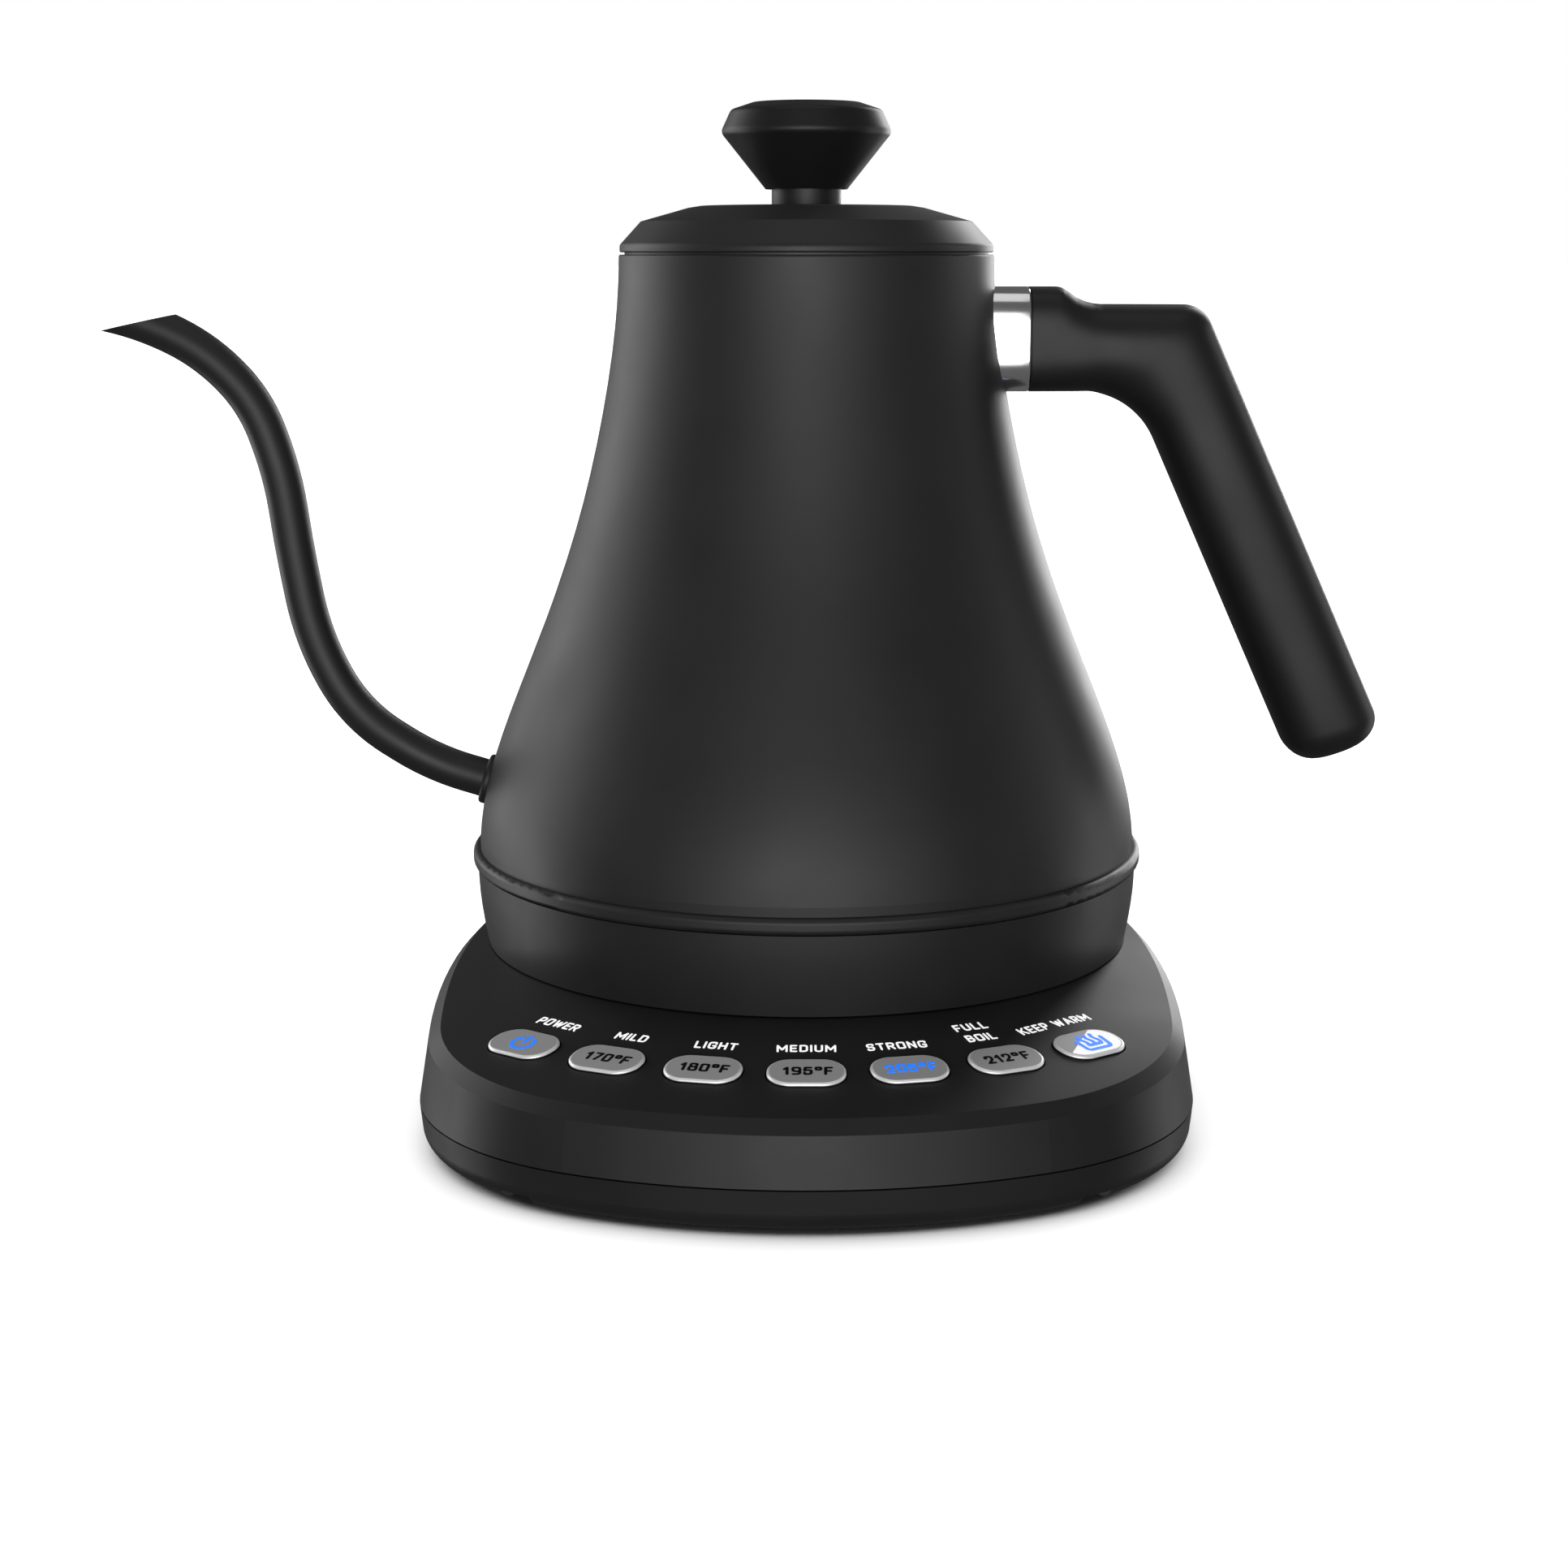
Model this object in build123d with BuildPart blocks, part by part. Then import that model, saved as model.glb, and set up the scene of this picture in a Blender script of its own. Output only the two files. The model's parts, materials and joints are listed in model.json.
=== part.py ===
"""Electric gooseneck kettle on a powered base with seven sprung buttons, as an assembly of separate pieces.

Frame: the origin is on the table under the kettle's axis, +Z up. The spout points to -X, the handle to +X,
the buttons face -Y and the cord outlet faces +Y. Millimetres.
"""

import os
from math import cos, hypot, radians, sin, tan

from build123d import *

os.makedirs("parts", exist_ok=True)

# ---------------------------------------------------------------- driving dimensions

SLIP = 0.05  # gap between pieces of one body that fit into each other
FREE = 0.3  # gap between pieces that move against each other

# base plan at the seam: a wide front arc about the kettle's axis, rounded corners, sides that
# bow out a little, and a round back about the axis that runs on from the sides
BASE_FRONT_RADIUS = 120.5
BASE_CORNER_RADIUS = 59.0
BASE_SIDE_RADIUS = 312.0
BASE_HALF_WIDTH, BASE_WIDEST_Y = 85.1, -30.2
BASE_WALL = 2.4
WALL_TAPER, COVER_TAPER = 9.3, 5.7

# base heights
COVER_BOTTOM = 0.8
SEAM_LOW, SEAM_HIGH = 9.85, 10.2
COVER_EDGE = 4.5  # rounding of the cover's bottom edge
SEAT_RADIUS, SEAT_TOP = 75.0, 31.2
PANEL_SLOPE = 10.8  # the top falls away outside the seat by this many degrees
PANEL_CHAMFER = 2.3

# cord store under the base
STORE_INNER, STORE_OUTER, STORE_TOP = 30.0, 62.0, 7.7
COVER_FLOOR = 2.4
NOTCH_ANGLES = (-29.6, 29.6, 180.0)  # from the front
NOTCH_WIDTH, NOTCH_TOP, NOTCH_ROOF = 7.5, 3.1, 5.6

# buttons
BUTTON_RING = 98.65
BUTTON_STEP = 12.2  # degrees between neighbours
BUTTON_NAMES = [
    "button_power",
    "button_170",
    "button_180",
    "button_195",
    "button_205",
    "button_212",
    "button_keep_warm",
]
BUTTON_WIDTH, BUTTON_DEPTH, BUTTON_CORNER = 16.1, 10.6, 4.9
BUTTON_PROUD, BUTTON_EDGE = 0.8, 0.7

# kettle body of revolution: outer radius and height, from the neck down
SHELL_WALL = 1.0
SHELL_TOP = 188.2
SHELL_PROFILE = [
    (42.3, SHELL_TOP),
    (43.2, 173.6),
    (46.1, 154.6),
    (52.0, 129.8),
    (60.6, 104.8),
    (70.6, 79.6),
    (74.9, 65.4),
    (76.3, 55.5),
]
SHELL_FOOT_RADIUS, SHELL_FOOT = 76.3, 50.0
COLLAR_LOW, COLLAR_HIGH, COLLAR_RADIUS = 49.7, 53.4, 78.0
SKIRT_PROFILE = [(76.9, 49.5), (76.6, 42.3), (75.8, 36.4), (74.9, 31.6)]
SKIRT_WALL = 2.6
PLATE_LOW, PLATE_HIGH = 50.6, 52.1
INNER_COVER_LOW, INNER_COVER_HIGH = 33.2, 35.2
ELEMENT_RING, ELEMENT_RADIUS = 46.0, 3.3
DIFFUSER_LOW = 48.6
PROBE_Y, PROBE_RADIUS = 56.0, 3.0

# coupler: the base's round pedestal and the kettle's socket around it
PEDESTAL_RADIUS, PEDESTAL_TOP = 20.0, 44.0
SOCKET_RADIUS, SOCKET_TOP = 20.5, 44.7
SOCKET_OUTER = 26.8
GROOVE_INNER, GROOVE_OUTER, GROOVE_LOW = 11.0, 14.4, 34.0

# spout, as the centre line's corner points in the XZ plane
SPOUT_RADIUS, SPOUT_BORE = 4.5, 3.7
SPOUT_POINTS = [
    (-71.0, 66.4),
    (-87.4, 71.3),
    (-105.2, 82.8),
    (-114.5, 100.6),
    (-118.0, 120.5),
    (-120.3, 139.3),
    (-126.0, 155.7),
    (-136.8, 166.8),
    (-150.0, 173.4),
    (-166.0, 177.3),
]
SPOUT_CUT_HIGH, SPOUT_CUT_LOW = (-142.8, 175.0), (-160.5, 171.2)
SPOUT_COLLAR_X = -74.75
SPOUT_COLLAR_RADIUS = 5.9

# handle, flat in the XZ plane
HANDLE_HALF_WIDTH = 11.0
HANDLE_EDGE = 8.0
FERRULE_END = 50.3
HANDLE_LOW, HANDLE_HIGH = 157.7, 181.2
GRIP_CORNERS = [
    (FERRULE_END, HANDLE_LOW),
    (FERRULE_END, HANDLE_HIGH),
    (58.3, HANDLE_HIGH),
    (65.2, 177.2),
    (89.8, 177.2),
    (134.9, 78.5),
    (113.8, 71.1),
    (74.5, HANDLE_LOW),
]
GRIP_RADII = [0.0, 0.0, 8.4, 12.5, 8.4, 8.4, 8.4, 18.6]
TONGUE_HALF_WIDTH, TONGUE_LOW, TONGUE_HIGH, TONGUE_END = 7.0, 164.0, 175.0, 72.0
HANDLE_SCREW_X = 64.0

# lid
LID_RIM = 188.7
LID_OUTER = [(0.0, 198.9), (24.0, 198.9), (26.6, 198.5), (37.3, 195.5), (42.1, 190.3), (42.1, LID_RIM)]
LID_LIP = [(41.0, LID_RIM), (41.0, 187.2), (40.35, 187.2)]  # reaches into the neck behind the seam
LID_INNER = [(40.35, 189.8), (36.5, 194.1), (26.2, 197.1), (23.6, 197.5), (0.0, 197.5)]
PLUG_RADIUS, PLUG_WALL, PLUG_LOW, PLUG_HIGH = 40.3, 1.2, 176.5, 189.4
SEAL_LOW, SEAL_HIGH, SEAL_RADIUS = 181.0, 183.6, 41.1
STEM_RADIUS, STEM_TOP = 7.8, 202.6
KNOB_PROFILE = [(9.2, STEM_TOP), (19.2, 215.0), (16.9, 219.9), (12.0, 221.5)]
KNOB_SCREW_RADIUS = 2.0

# parts inside the base
BOARD_LOW, BOARD_HIGH = 14.0, 15.6
BOARD_INNER, BOARD_OUTER, BOARD_HALF_ANGLE = 87.0, 108.0, 42.0
SWITCH_TOP = 19.85
SWITCH_RING = 97.6
POWER_BOARD_LOW, POWER_BOARD_HIGH = 13.6, 15.2
GLAND_Z, GLAND_BORE, GLAND_RADIUS = 20.4, 3.4, 5.2
GLAND_FLANGE = 6.8

HOUSING_SCREWS = [(58.0, -58.0), (-58.0, -58.0), (0.0, -80.0), (38.5, 57.9), (-38.5, 57.9)]
FEET = [(36.0, -97.0), (-36.0, -97.0), (48.1, 48.1), (-48.1, 48.1)]
FOOT_RADIUS, CENTRE_FOOT_RADIUS, FOOT_TOP = 5.0, 14.0, 1.6
BOARD_POST_ANGLES = (-30.5, 0.0, 30.5)
BOARD_POST_RING = 89.3


# ---------------------------------------------------------------- helpers


def save(builder, name):
    """Labels a finished piece and writes its STEP file."""
    builder.part.label = name
    export_step(builder.part, f"parts/{name}.step")


def round_edges(builder):
    """The circular edges of the part so far, smallest first."""
    return builder.edges().filter_by(GeomType.CIRCLE).sort_by(SortBy.RADIUS)


def ring_point(radius, angle):
    """Plan point at an angle from the front (-Y), positive towards +X."""
    return radius * sin(radians(angle)), -radius * cos(radians(angle))


def panel_height(radius):
    """Height of the base's top surface at a distance from the axis."""
    return SEAT_TOP - max(radius - SEAT_RADIUS, 0.0) * tan(radians(PANEL_SLOPE))


def base_plan(inset, height):
    """The base's plan, inset all round, as a sketch at a height."""
    # the sides' centres lie across the axis, and the back's circle touches both sides from inside
    side_x = BASE_SIDE_RADIUS - BASE_HALF_WIDTH
    side_reach = hypot(side_x, BASE_WIDEST_Y)
    back = BASE_SIDE_RADIUS - side_reach - inset
    touch_y = -BASE_WIDEST_Y / side_reach * back
    with BuildSketch(Plane.XY.offset(height)) as plan:
        Circle(BASE_FRONT_RADIUS - inset)
        for x in (-side_x, side_x):
            with Locations((x, BASE_WIDEST_Y)):
                Circle(BASE_SIDE_RADIUS - inset, mode=Mode.INTERSECT)
        fillet(plan.vertices().group_by(Axis.Y)[0], BASE_CORNER_RADIUS - inset)
        with Locations((0, touch_y)):
            Rectangle(4 * back, 2 * back, align=(Align.CENTER, Align.MIN), mode=Mode.SUBTRACT)
        Circle(back)
    return plan.sketch


def profile(points):
    """Closed straight-sided section in the XZ plane, for revolving about Z."""
    with BuildSketch(Plane.XZ) as section:
        with BuildLine():
            Polyline(*points, close=True)
        make_face()
    return section.sketch


def turned(points):
    """Solid made by turning a straight-sided section about Z."""
    with BuildPart() as solid:
        revolve(profile(points), axis=Axis.Z)
    return solid.part


def notch_bars(width, top):
    """Bars that run outwards under the base from the cord store, one along each notch."""
    reach = BASE_FRONT_RADIUS + 5 - STORE_OUTER
    with BuildPart() as bars:
        for angle in NOTCH_ANGLES:
            turn = radians(angle)
            with BuildSketch(Plane(origin=(0, 0, 0), x_dir=(cos(turn), sin(turn), 0), z_dir=(0, 0, 1))):
                with Locations((0, -STORE_OUTER + 1 - reach / 2)):
                    Rectangle(width, reach)
            extrude(amount=top)
    return bars.part


def housing_block(inset, drop):
    """Tapered walls under the seat plateau, which slopes away outside the seat."""
    reach = BASE_FRONT_RADIUS + 10
    with BuildPart() as block:
        extrude(base_plan(inset, SEAM_HIGH), amount=SEAT_TOP, taper=WALL_TAPER)
        sky = [
            (0, SEAT_TOP - drop),
            (SEAT_RADIUS, SEAT_TOP - drop),
            (reach, panel_height(reach) - drop),
            (reach, 2 * SEAT_TOP),
            (0, 2 * SEAT_TOP),
        ]
        revolve(profile(sky), axis=Axis.Z, mode=Mode.SUBTRACT)
    return block.part


def shell_solid(inset):
    """The kettle body filled solid, with its wall moved inwards."""
    with BuildPart() as solid:
        with BuildSketch(Plane.XZ):
            with BuildLine():
                curve = Spline(*[(r - inset, z) for r, z in SHELL_PROFILE])
                Polyline(
                    curve @ 1,
                    (SHELL_FOOT_RADIUS - inset, SHELL_FOOT),
                    (0, SHELL_FOOT),
                    (0, SHELL_TOP),
                    curve @ 0,
                )
            make_face()
        revolve(axis=Axis.Z)
    return solid.part


def spout_solid(radius):
    """A round bar along the spout's centre line, which is straight runs joined by tangent arcs."""
    points = [Vector(x, 0, z) for x, z in SPOUT_POINTS]
    radii = []
    for before, here, after in zip(points, points[1:], points[2:]):
        shorter = min((here - before).length, (after - here).length)
        half_turn = radians((here - before).get_angle(after - here)) / 2
        radii.append(0.49 * shorter / tan(half_turn))
    with BuildPart() as bar:
        with BuildLine() as path:
            FilletPolyline(*points, radius=radii)
        with BuildSketch(Plane(path.line @ 0, z_dir=path.line % 0)):
            Circle(radius)
        sweep()
    return bar.part


def button_plane(index):
    """Plane on the panel under a button: x along the row of buttons, z out of the panel."""
    angle = BUTTON_STEP * (index - 3)
    x, y = ring_point(BUTTON_RING, angle)
    tilt, turn = radians(PANEL_SLOPE), radians(angle)
    return Plane(
        origin=(x, y, panel_height(BUTTON_RING)),
        x_dir=(cos(turn), sin(turn), 0),
        z_dir=(sin(tilt) * sin(turn), -sin(tilt) * cos(turn), cos(tilt)),
    )


def screws(points, head_low, head_radius, head_height, shank_radius, shank_top):
    """Identical screws driven upwards: a pan head with a cross slot, and a shank."""
    with BuildPart() as group:
        for x, y in points:
            with Locations((x, y, head_low)):
                Cylinder(head_radius, head_height, align=(Align.CENTER, Align.CENTER, Align.MIN))
                Box(head_radius, 0.5, 0.8, mode=Mode.SUBTRACT)
                Box(0.5, head_radius, 0.8, mode=Mode.SUBTRACT)
            with Locations((x, y, head_low + head_height)):
                Cylinder(
                    shank_radius,
                    shank_top - head_low - head_height,
                    align=(Align.CENTER, Align.CENTER, Align.MIN),
                )
    return group


ON_END = (Align.CENTER, Align.CENTER, Align.MIN)
BUTTON_PLANES = [button_plane(index) for index in range(len(BUTTON_NAMES))]
kettle_envelope = shell_solid(0.0)
kettle_skin = shell_solid(-SLIP)
kettle_hollow = shell_solid(SHELL_WALL)
base_envelope = housing_block(0.0, 0.0)

# ---------------------------------------------------------------- base

housing_cavity = housing_block(BASE_WALL, BASE_WALL)
board_posts = [ring_point(BOARD_POST_RING, angle) for angle in BOARD_POST_ANGLES]

with BuildPart() as base_top_housing:
    add(base_envelope)
    rim_edges = [
        edge
        for edge in base_top_housing.edges()
        if edge.bounding_box().min.Z > SEAM_HIGH + 5
        and ((edge @ 0.5).X ** 2 + (edge @ 0.5).Y ** 2) ** 0.5 > SEAT_RADIUS + 1
    ]
    chamfer(rim_edges, PANEL_CHAMFER)
    add(housing_cavity, mode=Mode.SUBTRACT)
    # screw posts and board posts hang from the ceiling
    for points, post_radius, post_low, pilot in (
        (HOUSING_SCREWS, 3.6, COVER_BOTTOM + COVER_FLOOR + SLIP, 1.3),
        (board_posts, 2.2, BOARD_HIGH + SLIP, 0.9),
    ):
        for x, y in points:
            ceiling = panel_height((x * x + y * y) ** 0.5) - BASE_WALL
            with Locations((x, y, post_low)):
                Cylinder(post_radius, ceiling + 0.6 - post_low, align=ON_END)
                Cylinder(pilot, ceiling - 2.0 - post_low, align=ON_END, mode=Mode.SUBTRACT)
    # openings for the buttons, the coupler and the cord gland
    for plane in BUTTON_PLANES:
        with BuildSketch(plane):
            RectangleRounded(BUTTON_WIDTH + 2 * FREE, BUTTON_DEPTH + 2 * FREE, BUTTON_CORNER + FREE)
        extrude(amount=2 * BASE_WALL, both=True, mode=Mode.SUBTRACT)
    with Locations((0, 0, SEAT_TOP - BASE_WALL - 1)):
        Cylinder(PEDESTAL_RADIUS + SLIP, 2 * BASE_WALL, align=ON_END, mode=Mode.SUBTRACT)
    with BuildSketch(Plane.XZ.offset(-BASE_HALF_WIDTH + 8)):
        with Locations((0, GLAND_Z)):
            Circle(GLAND_RADIUS + SLIP)
    extrude(amount=-12, mode=Mode.SUBTRACT)
save(base_top_housing, "base_top_housing")

with BuildPart() as cover_pocket:
    extrude(
        base_plan(6.0, COVER_BOTTOM + COVER_FLOOR),
        amount=SEAM_LOW - COVER_BOTTOM - COVER_FLOOR,
        taper=-18.0,
    )
    Cylinder(STORE_OUTER + COVER_FLOOR, 3 * SEAM_LOW, mode=Mode.SUBTRACT)
    add(notch_bars(NOTCH_WIDTH + 4, NOTCH_ROOF), mode=Mode.SUBTRACT)
    with Locations((0, 0, COVER_BOTTOM + COVER_FLOOR)):
        Cylinder(STORE_INNER - COVER_FLOOR, SEAM_LOW, align=ON_END)

power_posts = [(x, y) for x in (-30.0, 30.0) for y in (33.0, 59.0)]

with BuildPart() as base_bottom_cover:
    cover_height = SEAM_LOW - COVER_BOTTOM
    foot_inset = cover_height * tan(radians(COVER_TAPER))
    extrude(base_plan(foot_inset, COVER_BOTTOM), amount=cover_height, taper=-COVER_TAPER)
    fillet(base_bottom_cover.edges().group_by(Axis.Z)[0], COVER_EDGE)
    add(cover_pocket.part, mode=Mode.SUBTRACT)
    # ring-shaped store for the cord, with a hub to wind it on
    with BuildSketch():
        Circle(STORE_OUTER)
        Circle(STORE_INNER, mode=Mode.SUBTRACT)
    extrude(amount=STORE_TOP, mode=Mode.SUBTRACT)
    # notches that let the cord leave the store, two towards the front corners and one at the back
    add(notch_bars(NOTCH_WIDTH, NOTCH_TOP), mode=Mode.SUBTRACT)
    # locating lip inside the housing's wall
    with BuildSketch(Plane.XY.offset(SEAM_LOW - 1.0)):
        add(base_plan(3.0, SEAM_LOW - 1.0))
        add(base_plan(4.4, SEAM_LOW - 1.0), mode=Mode.SUBTRACT)
    extrude(amount=3.2)
    with Locations(*[(x, y, SEAM_LOW - 0.5) for x, y in power_posts]):
        Cylinder(2.5, POWER_BOARD_LOW - SEAM_LOW + 0.5, align=ON_END)
    with Locations(*[(x, y, COVER_BOTTOM) for x, y in HOUSING_SCREWS]):
        Cylinder(3.0, 1.5, align=ON_END, mode=Mode.SUBTRACT)
        Cylinder(1.4, 4.0, align=ON_END, mode=Mode.SUBTRACT)
    with Locations(*[(x, y, 0) for x, y in FEET]):
        Cylinder(FOOT_RADIUS + SLIP, FOOT_TOP, align=ON_END, mode=Mode.SUBTRACT)
    with Locations((0, 0, 0)):
        Cylinder(CENTRE_FOOT_RADIUS + SLIP, FOOT_TOP, align=ON_END, mode=Mode.SUBTRACT)
save(base_bottom_cover, "base_bottom_cover")

with BuildPart() as rubber_feet:
    with Locations(*[(x, y, 0) for x, y in FEET]):
        Cylinder(FOOT_RADIUS, FOOT_TOP, align=ON_END)
    Cylinder(CENTRE_FOOT_RADIUS, FOOT_TOP, align=ON_END)
save(rubber_feet, "rubber_feet")

base_screws = screws(HOUSING_SCREWS, COVER_BOTTOM + 0.1, 2.8, 1.4, 1.25, 17.0)
save(base_screws, "base_screws")

with BuildPart() as base_coupler:
    flange_top = SEAT_TOP - BASE_WALL
    add(
        turned(
            [
                (0, 24.0),
                (24.0, 24.0),
                (24.0, flange_top),
                (PEDESTAL_RADIUS, flange_top),
                (PEDESTAL_RADIUS, PEDESTAL_TOP - 2.0),
                (PEDESTAL_RADIUS - 2.0, PEDESTAL_TOP),
                (GROOVE_OUTER, PEDESTAL_TOP),
                (GROOVE_OUTER, GROOVE_LOW),
                (GROOVE_INNER, GROOVE_LOW),
                (GROOVE_INNER, PEDESTAL_TOP),
                (6.0, PEDESTAL_TOP),
                (5.0, PEDESTAL_TOP - 1.0),
                (5.0, GROOVE_LOW),
                (0, GROOVE_LOW),
            ]
        )
    )
save(base_coupler, "base_coupler")

with BuildPart() as coupler_contacts:
    with Locations((0, 0, GROOVE_LOW)):
        Cylinder(1.6, 8.0, align=ON_END)
    for angle in (20.0, 200.0):
        x, y = ring_point(GROOVE_OUTER - 0.5, angle)
        with Locations((x, y, GROOVE_LOW)):
            Cylinder(0.4, 6.0, align=ON_END)
save(coupler_contacts, "coupler_contacts")

switch_points = [ring_point(SWITCH_RING, BUTTON_STEP * (i - 3)) for i in range(len(BUTTON_NAMES))]

with BuildPart() as control_board:
    with BuildSketch(Plane.XY.offset(BOARD_LOW)):
        Circle(BOARD_OUTER)
        Circle(BOARD_INNER, mode=Mode.SUBTRACT)
        far = 2 * BOARD_OUTER
        corners = [ring_point(far, angle) for angle in (-BOARD_HALF_ANGLE, BOARD_HALF_ANGLE)]
        with BuildLine(mode=Mode.PRIVATE) as wedge:
            Polyline((0, 0), *corners, close=True)
        make_face(wedge.edges(), mode=Mode.INTERSECT)
    extrude(amount=BOARD_HIGH - BOARD_LOW)
    with Locations(*[(x, y, BOARD_LOW) for x, y in board_posts]):
        Cylinder(1.1, 5.0, mode=Mode.SUBTRACT)
save(control_board, "control_board")

board_screws = screws(board_posts, BOARD_LOW - 1.5, 1.9, 1.5, 0.85, 20.0)
save(board_screws, "board_screws")

with BuildPart() as tact_switches:
    for index, (x, y) in enumerate(switch_points):
        turned_plane = Plane(
            origin=(x, y, BOARD_HIGH),
            x_dir=(cos(radians(BUTTON_STEP * (index - 3))), sin(radians(BUTTON_STEP * (index - 3))), 0),
            z_dir=(0, 0, 1),
        )
        with BuildSketch(turned_plane):
            Rectangle(6.0, 6.0)
        extrude(amount=SWITCH_TOP - BOARD_HIGH - 0.7)
        with Locations((x, y, SWITCH_TOP - 0.7)):
            Cylinder(1.6, 0.7, align=ON_END)
save(tact_switches, "tact_switches")

with BuildPart() as indicator_lights:
    for index in range(len(BUTTON_NAMES)):
        x, y = ring_point(SWITCH_RING + 5.5, BUTTON_STEP * (index - 3))
        with Locations((x, y, BOARD_HIGH)):
            Box(2.0, 2.0, 1.0, align=ON_END)
save(indicator_lights, "indicator_lights")

with BuildPart() as buzzer:
    x, y = ring_point(95.0, -18.3)
    with Locations((x, y, BOARD_HIGH)):
        Cylinder(4.5, 4.0, align=ON_END)
        Cylinder(0.8, 10.0, align=ON_END, mode=Mode.SUBTRACT)
save(buzzer, "buzzer")

with BuildPart() as power_board:
    with BuildSketch(Plane.XY.offset(POWER_BOARD_LOW)):
        with Locations((0, 46.0)):
            RectangleRounded(66.0, 32.0, 2.0)
    extrude(amount=POWER_BOARD_HIGH - POWER_BOARD_LOW)
save(power_board, "power_board")

for name, x, y, width, depth, height in (
    ("transformer", -20.0, 46.0, 18.0, 16.0, 11.0),
    ("power_relay", 3.0, 42.0, 19.0, 15.0, 10.5),
    ("terminal_block", 0.0, 56.5, 22.0, 8.0, 8.5),
):
    with BuildPart() as block:
        with BuildSketch(Plane.XY.offset(POWER_BOARD_HIGH)):
            with Locations((x, y)):
                RectangleRounded(width, depth, 0.8)
        extrude(amount=height)
        chamfer(block.edges().group_by(Axis.Z)[-1], 0.5)
    save(block, name)

with BuildPart() as capacitor:
    with Locations((23.0, 44.0, POWER_BOARD_HIGH)):
        Cylinder(5.0, 11.0, align=ON_END)
    fillet(capacitor.edges().group_by(Axis.Z)[-1], 0.6)
save(capacitor, "capacitor")

with BuildPart() as ribbon_cable:
    # flat lead along the floor, from under the power board to under the control board
    with BuildSketch(Plane.XY.offset(SEAM_LOW + SLIP)):
        with Locations((38.0, -25.0)):
            Rectangle(10.0, 124.0)
    extrude(amount=0.7)
save(ribbon_cable, "ribbon_cable")

with BuildPart() as cord_gland:
    with BuildSketch(Plane.XZ.offset(-70.0)):
        with Locations((0, GLAND_Z)):
            Circle(GLAND_RADIUS)
    extrude(amount=-14.0)
    with BuildSketch(Plane.XZ.offset(-78.0)):
        with Locations((0, GLAND_Z)):
            Circle(GLAND_FLANGE)
    extrude(amount=-6.0)
    fillet(cord_gland.edges().group_by(Axis.Y)[-1], 1.2)
    add(base_top_housing.part, mode=Mode.SUBTRACT)
    with BuildSketch(Plane.XZ.offset(-60.0)):
        with Locations((0, GLAND_Z)):
            Circle(GLAND_BORE)
    extrude(amount=-30.0, mode=Mode.SUBTRACT)
save(cord_gland, "cord_gland")

# ---------------------------------------------------------------- buttons

for name, plane in zip(BUTTON_NAMES, BUTTON_PLANES):
    flange_low = -BASE_WALL - FREE - 1.0
    with BuildPart() as button:
        with BuildSketch(plane.offset(flange_low)):
            RectangleRounded(BUTTON_WIDTH, BUTTON_DEPTH, BUTTON_CORNER)
        extrude(amount=BUTTON_PROUD - flange_low)
        fillet(button.faces().sort_by(Axis.Z)[-1].edges(), BUTTON_EDGE)
        with BuildSketch(plane.offset(flange_low)):
            RectangleRounded(BUTTON_WIDTH + 1.6, BUTTON_DEPTH + 1.6, BUTTON_CORNER + 0.8)
        extrude(amount=0.9)
        with BuildSketch(plane.offset(flange_low)):
            Circle(1.6)
        extrude(amount=-1.6)
    save(button, name)

# ---------------------------------------------------------------- coupler ring that carries the kettle's turning

with BuildPart() as contact_ring:
    inner, outer = GROOVE_INNER + 0.5, GROOVE_OUTER - 1.4
    add(
        turned(
            [
                (inner, GROOVE_LOW + 2.5),
                (outer, GROOVE_LOW + 2.5),
                (outer, SOCKET_TOP - FREE),
                (inner, SOCKET_TOP - FREE),
            ]
        )
    )
save(contact_ring, "contact_ring")

# ---------------------------------------------------------------- kettle body

spout_bar = spout_solid(SPOUT_RADIUS)
root_x, root_z = SPOUT_POINTS[0]
run_x, run_z = SPOUT_POINTS[1][0] - root_x, SPOUT_POINTS[1][1] - root_z
spout_start = Plane(
    origin=(SPOUT_COLLAR_X, 0, root_z + (SPOUT_COLLAR_X - root_x) * run_z / run_x),
    z_dir=(run_x, 0, run_z),
)

with BuildPart() as kettle_shell:
    add(kettle_envelope)
    add(kettle_hollow, mode=Mode.SUBTRACT)
    fillet(kettle_shell.edges().group_by(Axis.Z)[-1], 0.45)
    with BuildSketch(spout_start.offset(-10.0)):
        Circle(SPOUT_RADIUS + SLIP)
    extrude(amount=20.0, mode=Mode.SUBTRACT)
save(kettle_shell, "kettle_shell")

with BuildPart() as spout_tube:
    add(spout_bar)
    add(spout_solid(SPOUT_BORE), mode=Mode.SUBTRACT)
    # the tip is cut on a slant, and the root ends flush with the inside of the body
    with BuildSketch(Plane.XZ):
        with BuildLine():
            Polyline(
                SPOUT_CUT_HIGH,
                SPOUT_CUT_LOW,
                (SPOUT_CUT_LOW[0] - 20, SPOUT_CUT_LOW[1] - 4.3),
                (SPOUT_CUT_LOW[0] - 20, 200),
                (SPOUT_CUT_HIGH[0], 200),
                close=True,
            )
        make_face()
    extrude(amount=20, both=True, mode=Mode.SUBTRACT)
    add(kettle_hollow, mode=Mode.SUBTRACT)
save(spout_tube, "spout_tube")

with BuildPart() as spout_collar:
    with BuildSketch(spout_start.offset(-2.5)):
        Circle(SPOUT_COLLAR_RADIUS)
    extrude(amount=3.4)
    fillet(spout_collar.faces().sort_by(Axis.X)[0].edges(), 0.8)
    with BuildSketch(spout_start.offset(-5.0)):
        Circle(SPOUT_RADIUS + SLIP)
    extrude(amount=10.0, mode=Mode.SUBTRACT)
    add(kettle_skin, mode=Mode.SUBTRACT)
save(spout_collar, "spout_collar")

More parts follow.
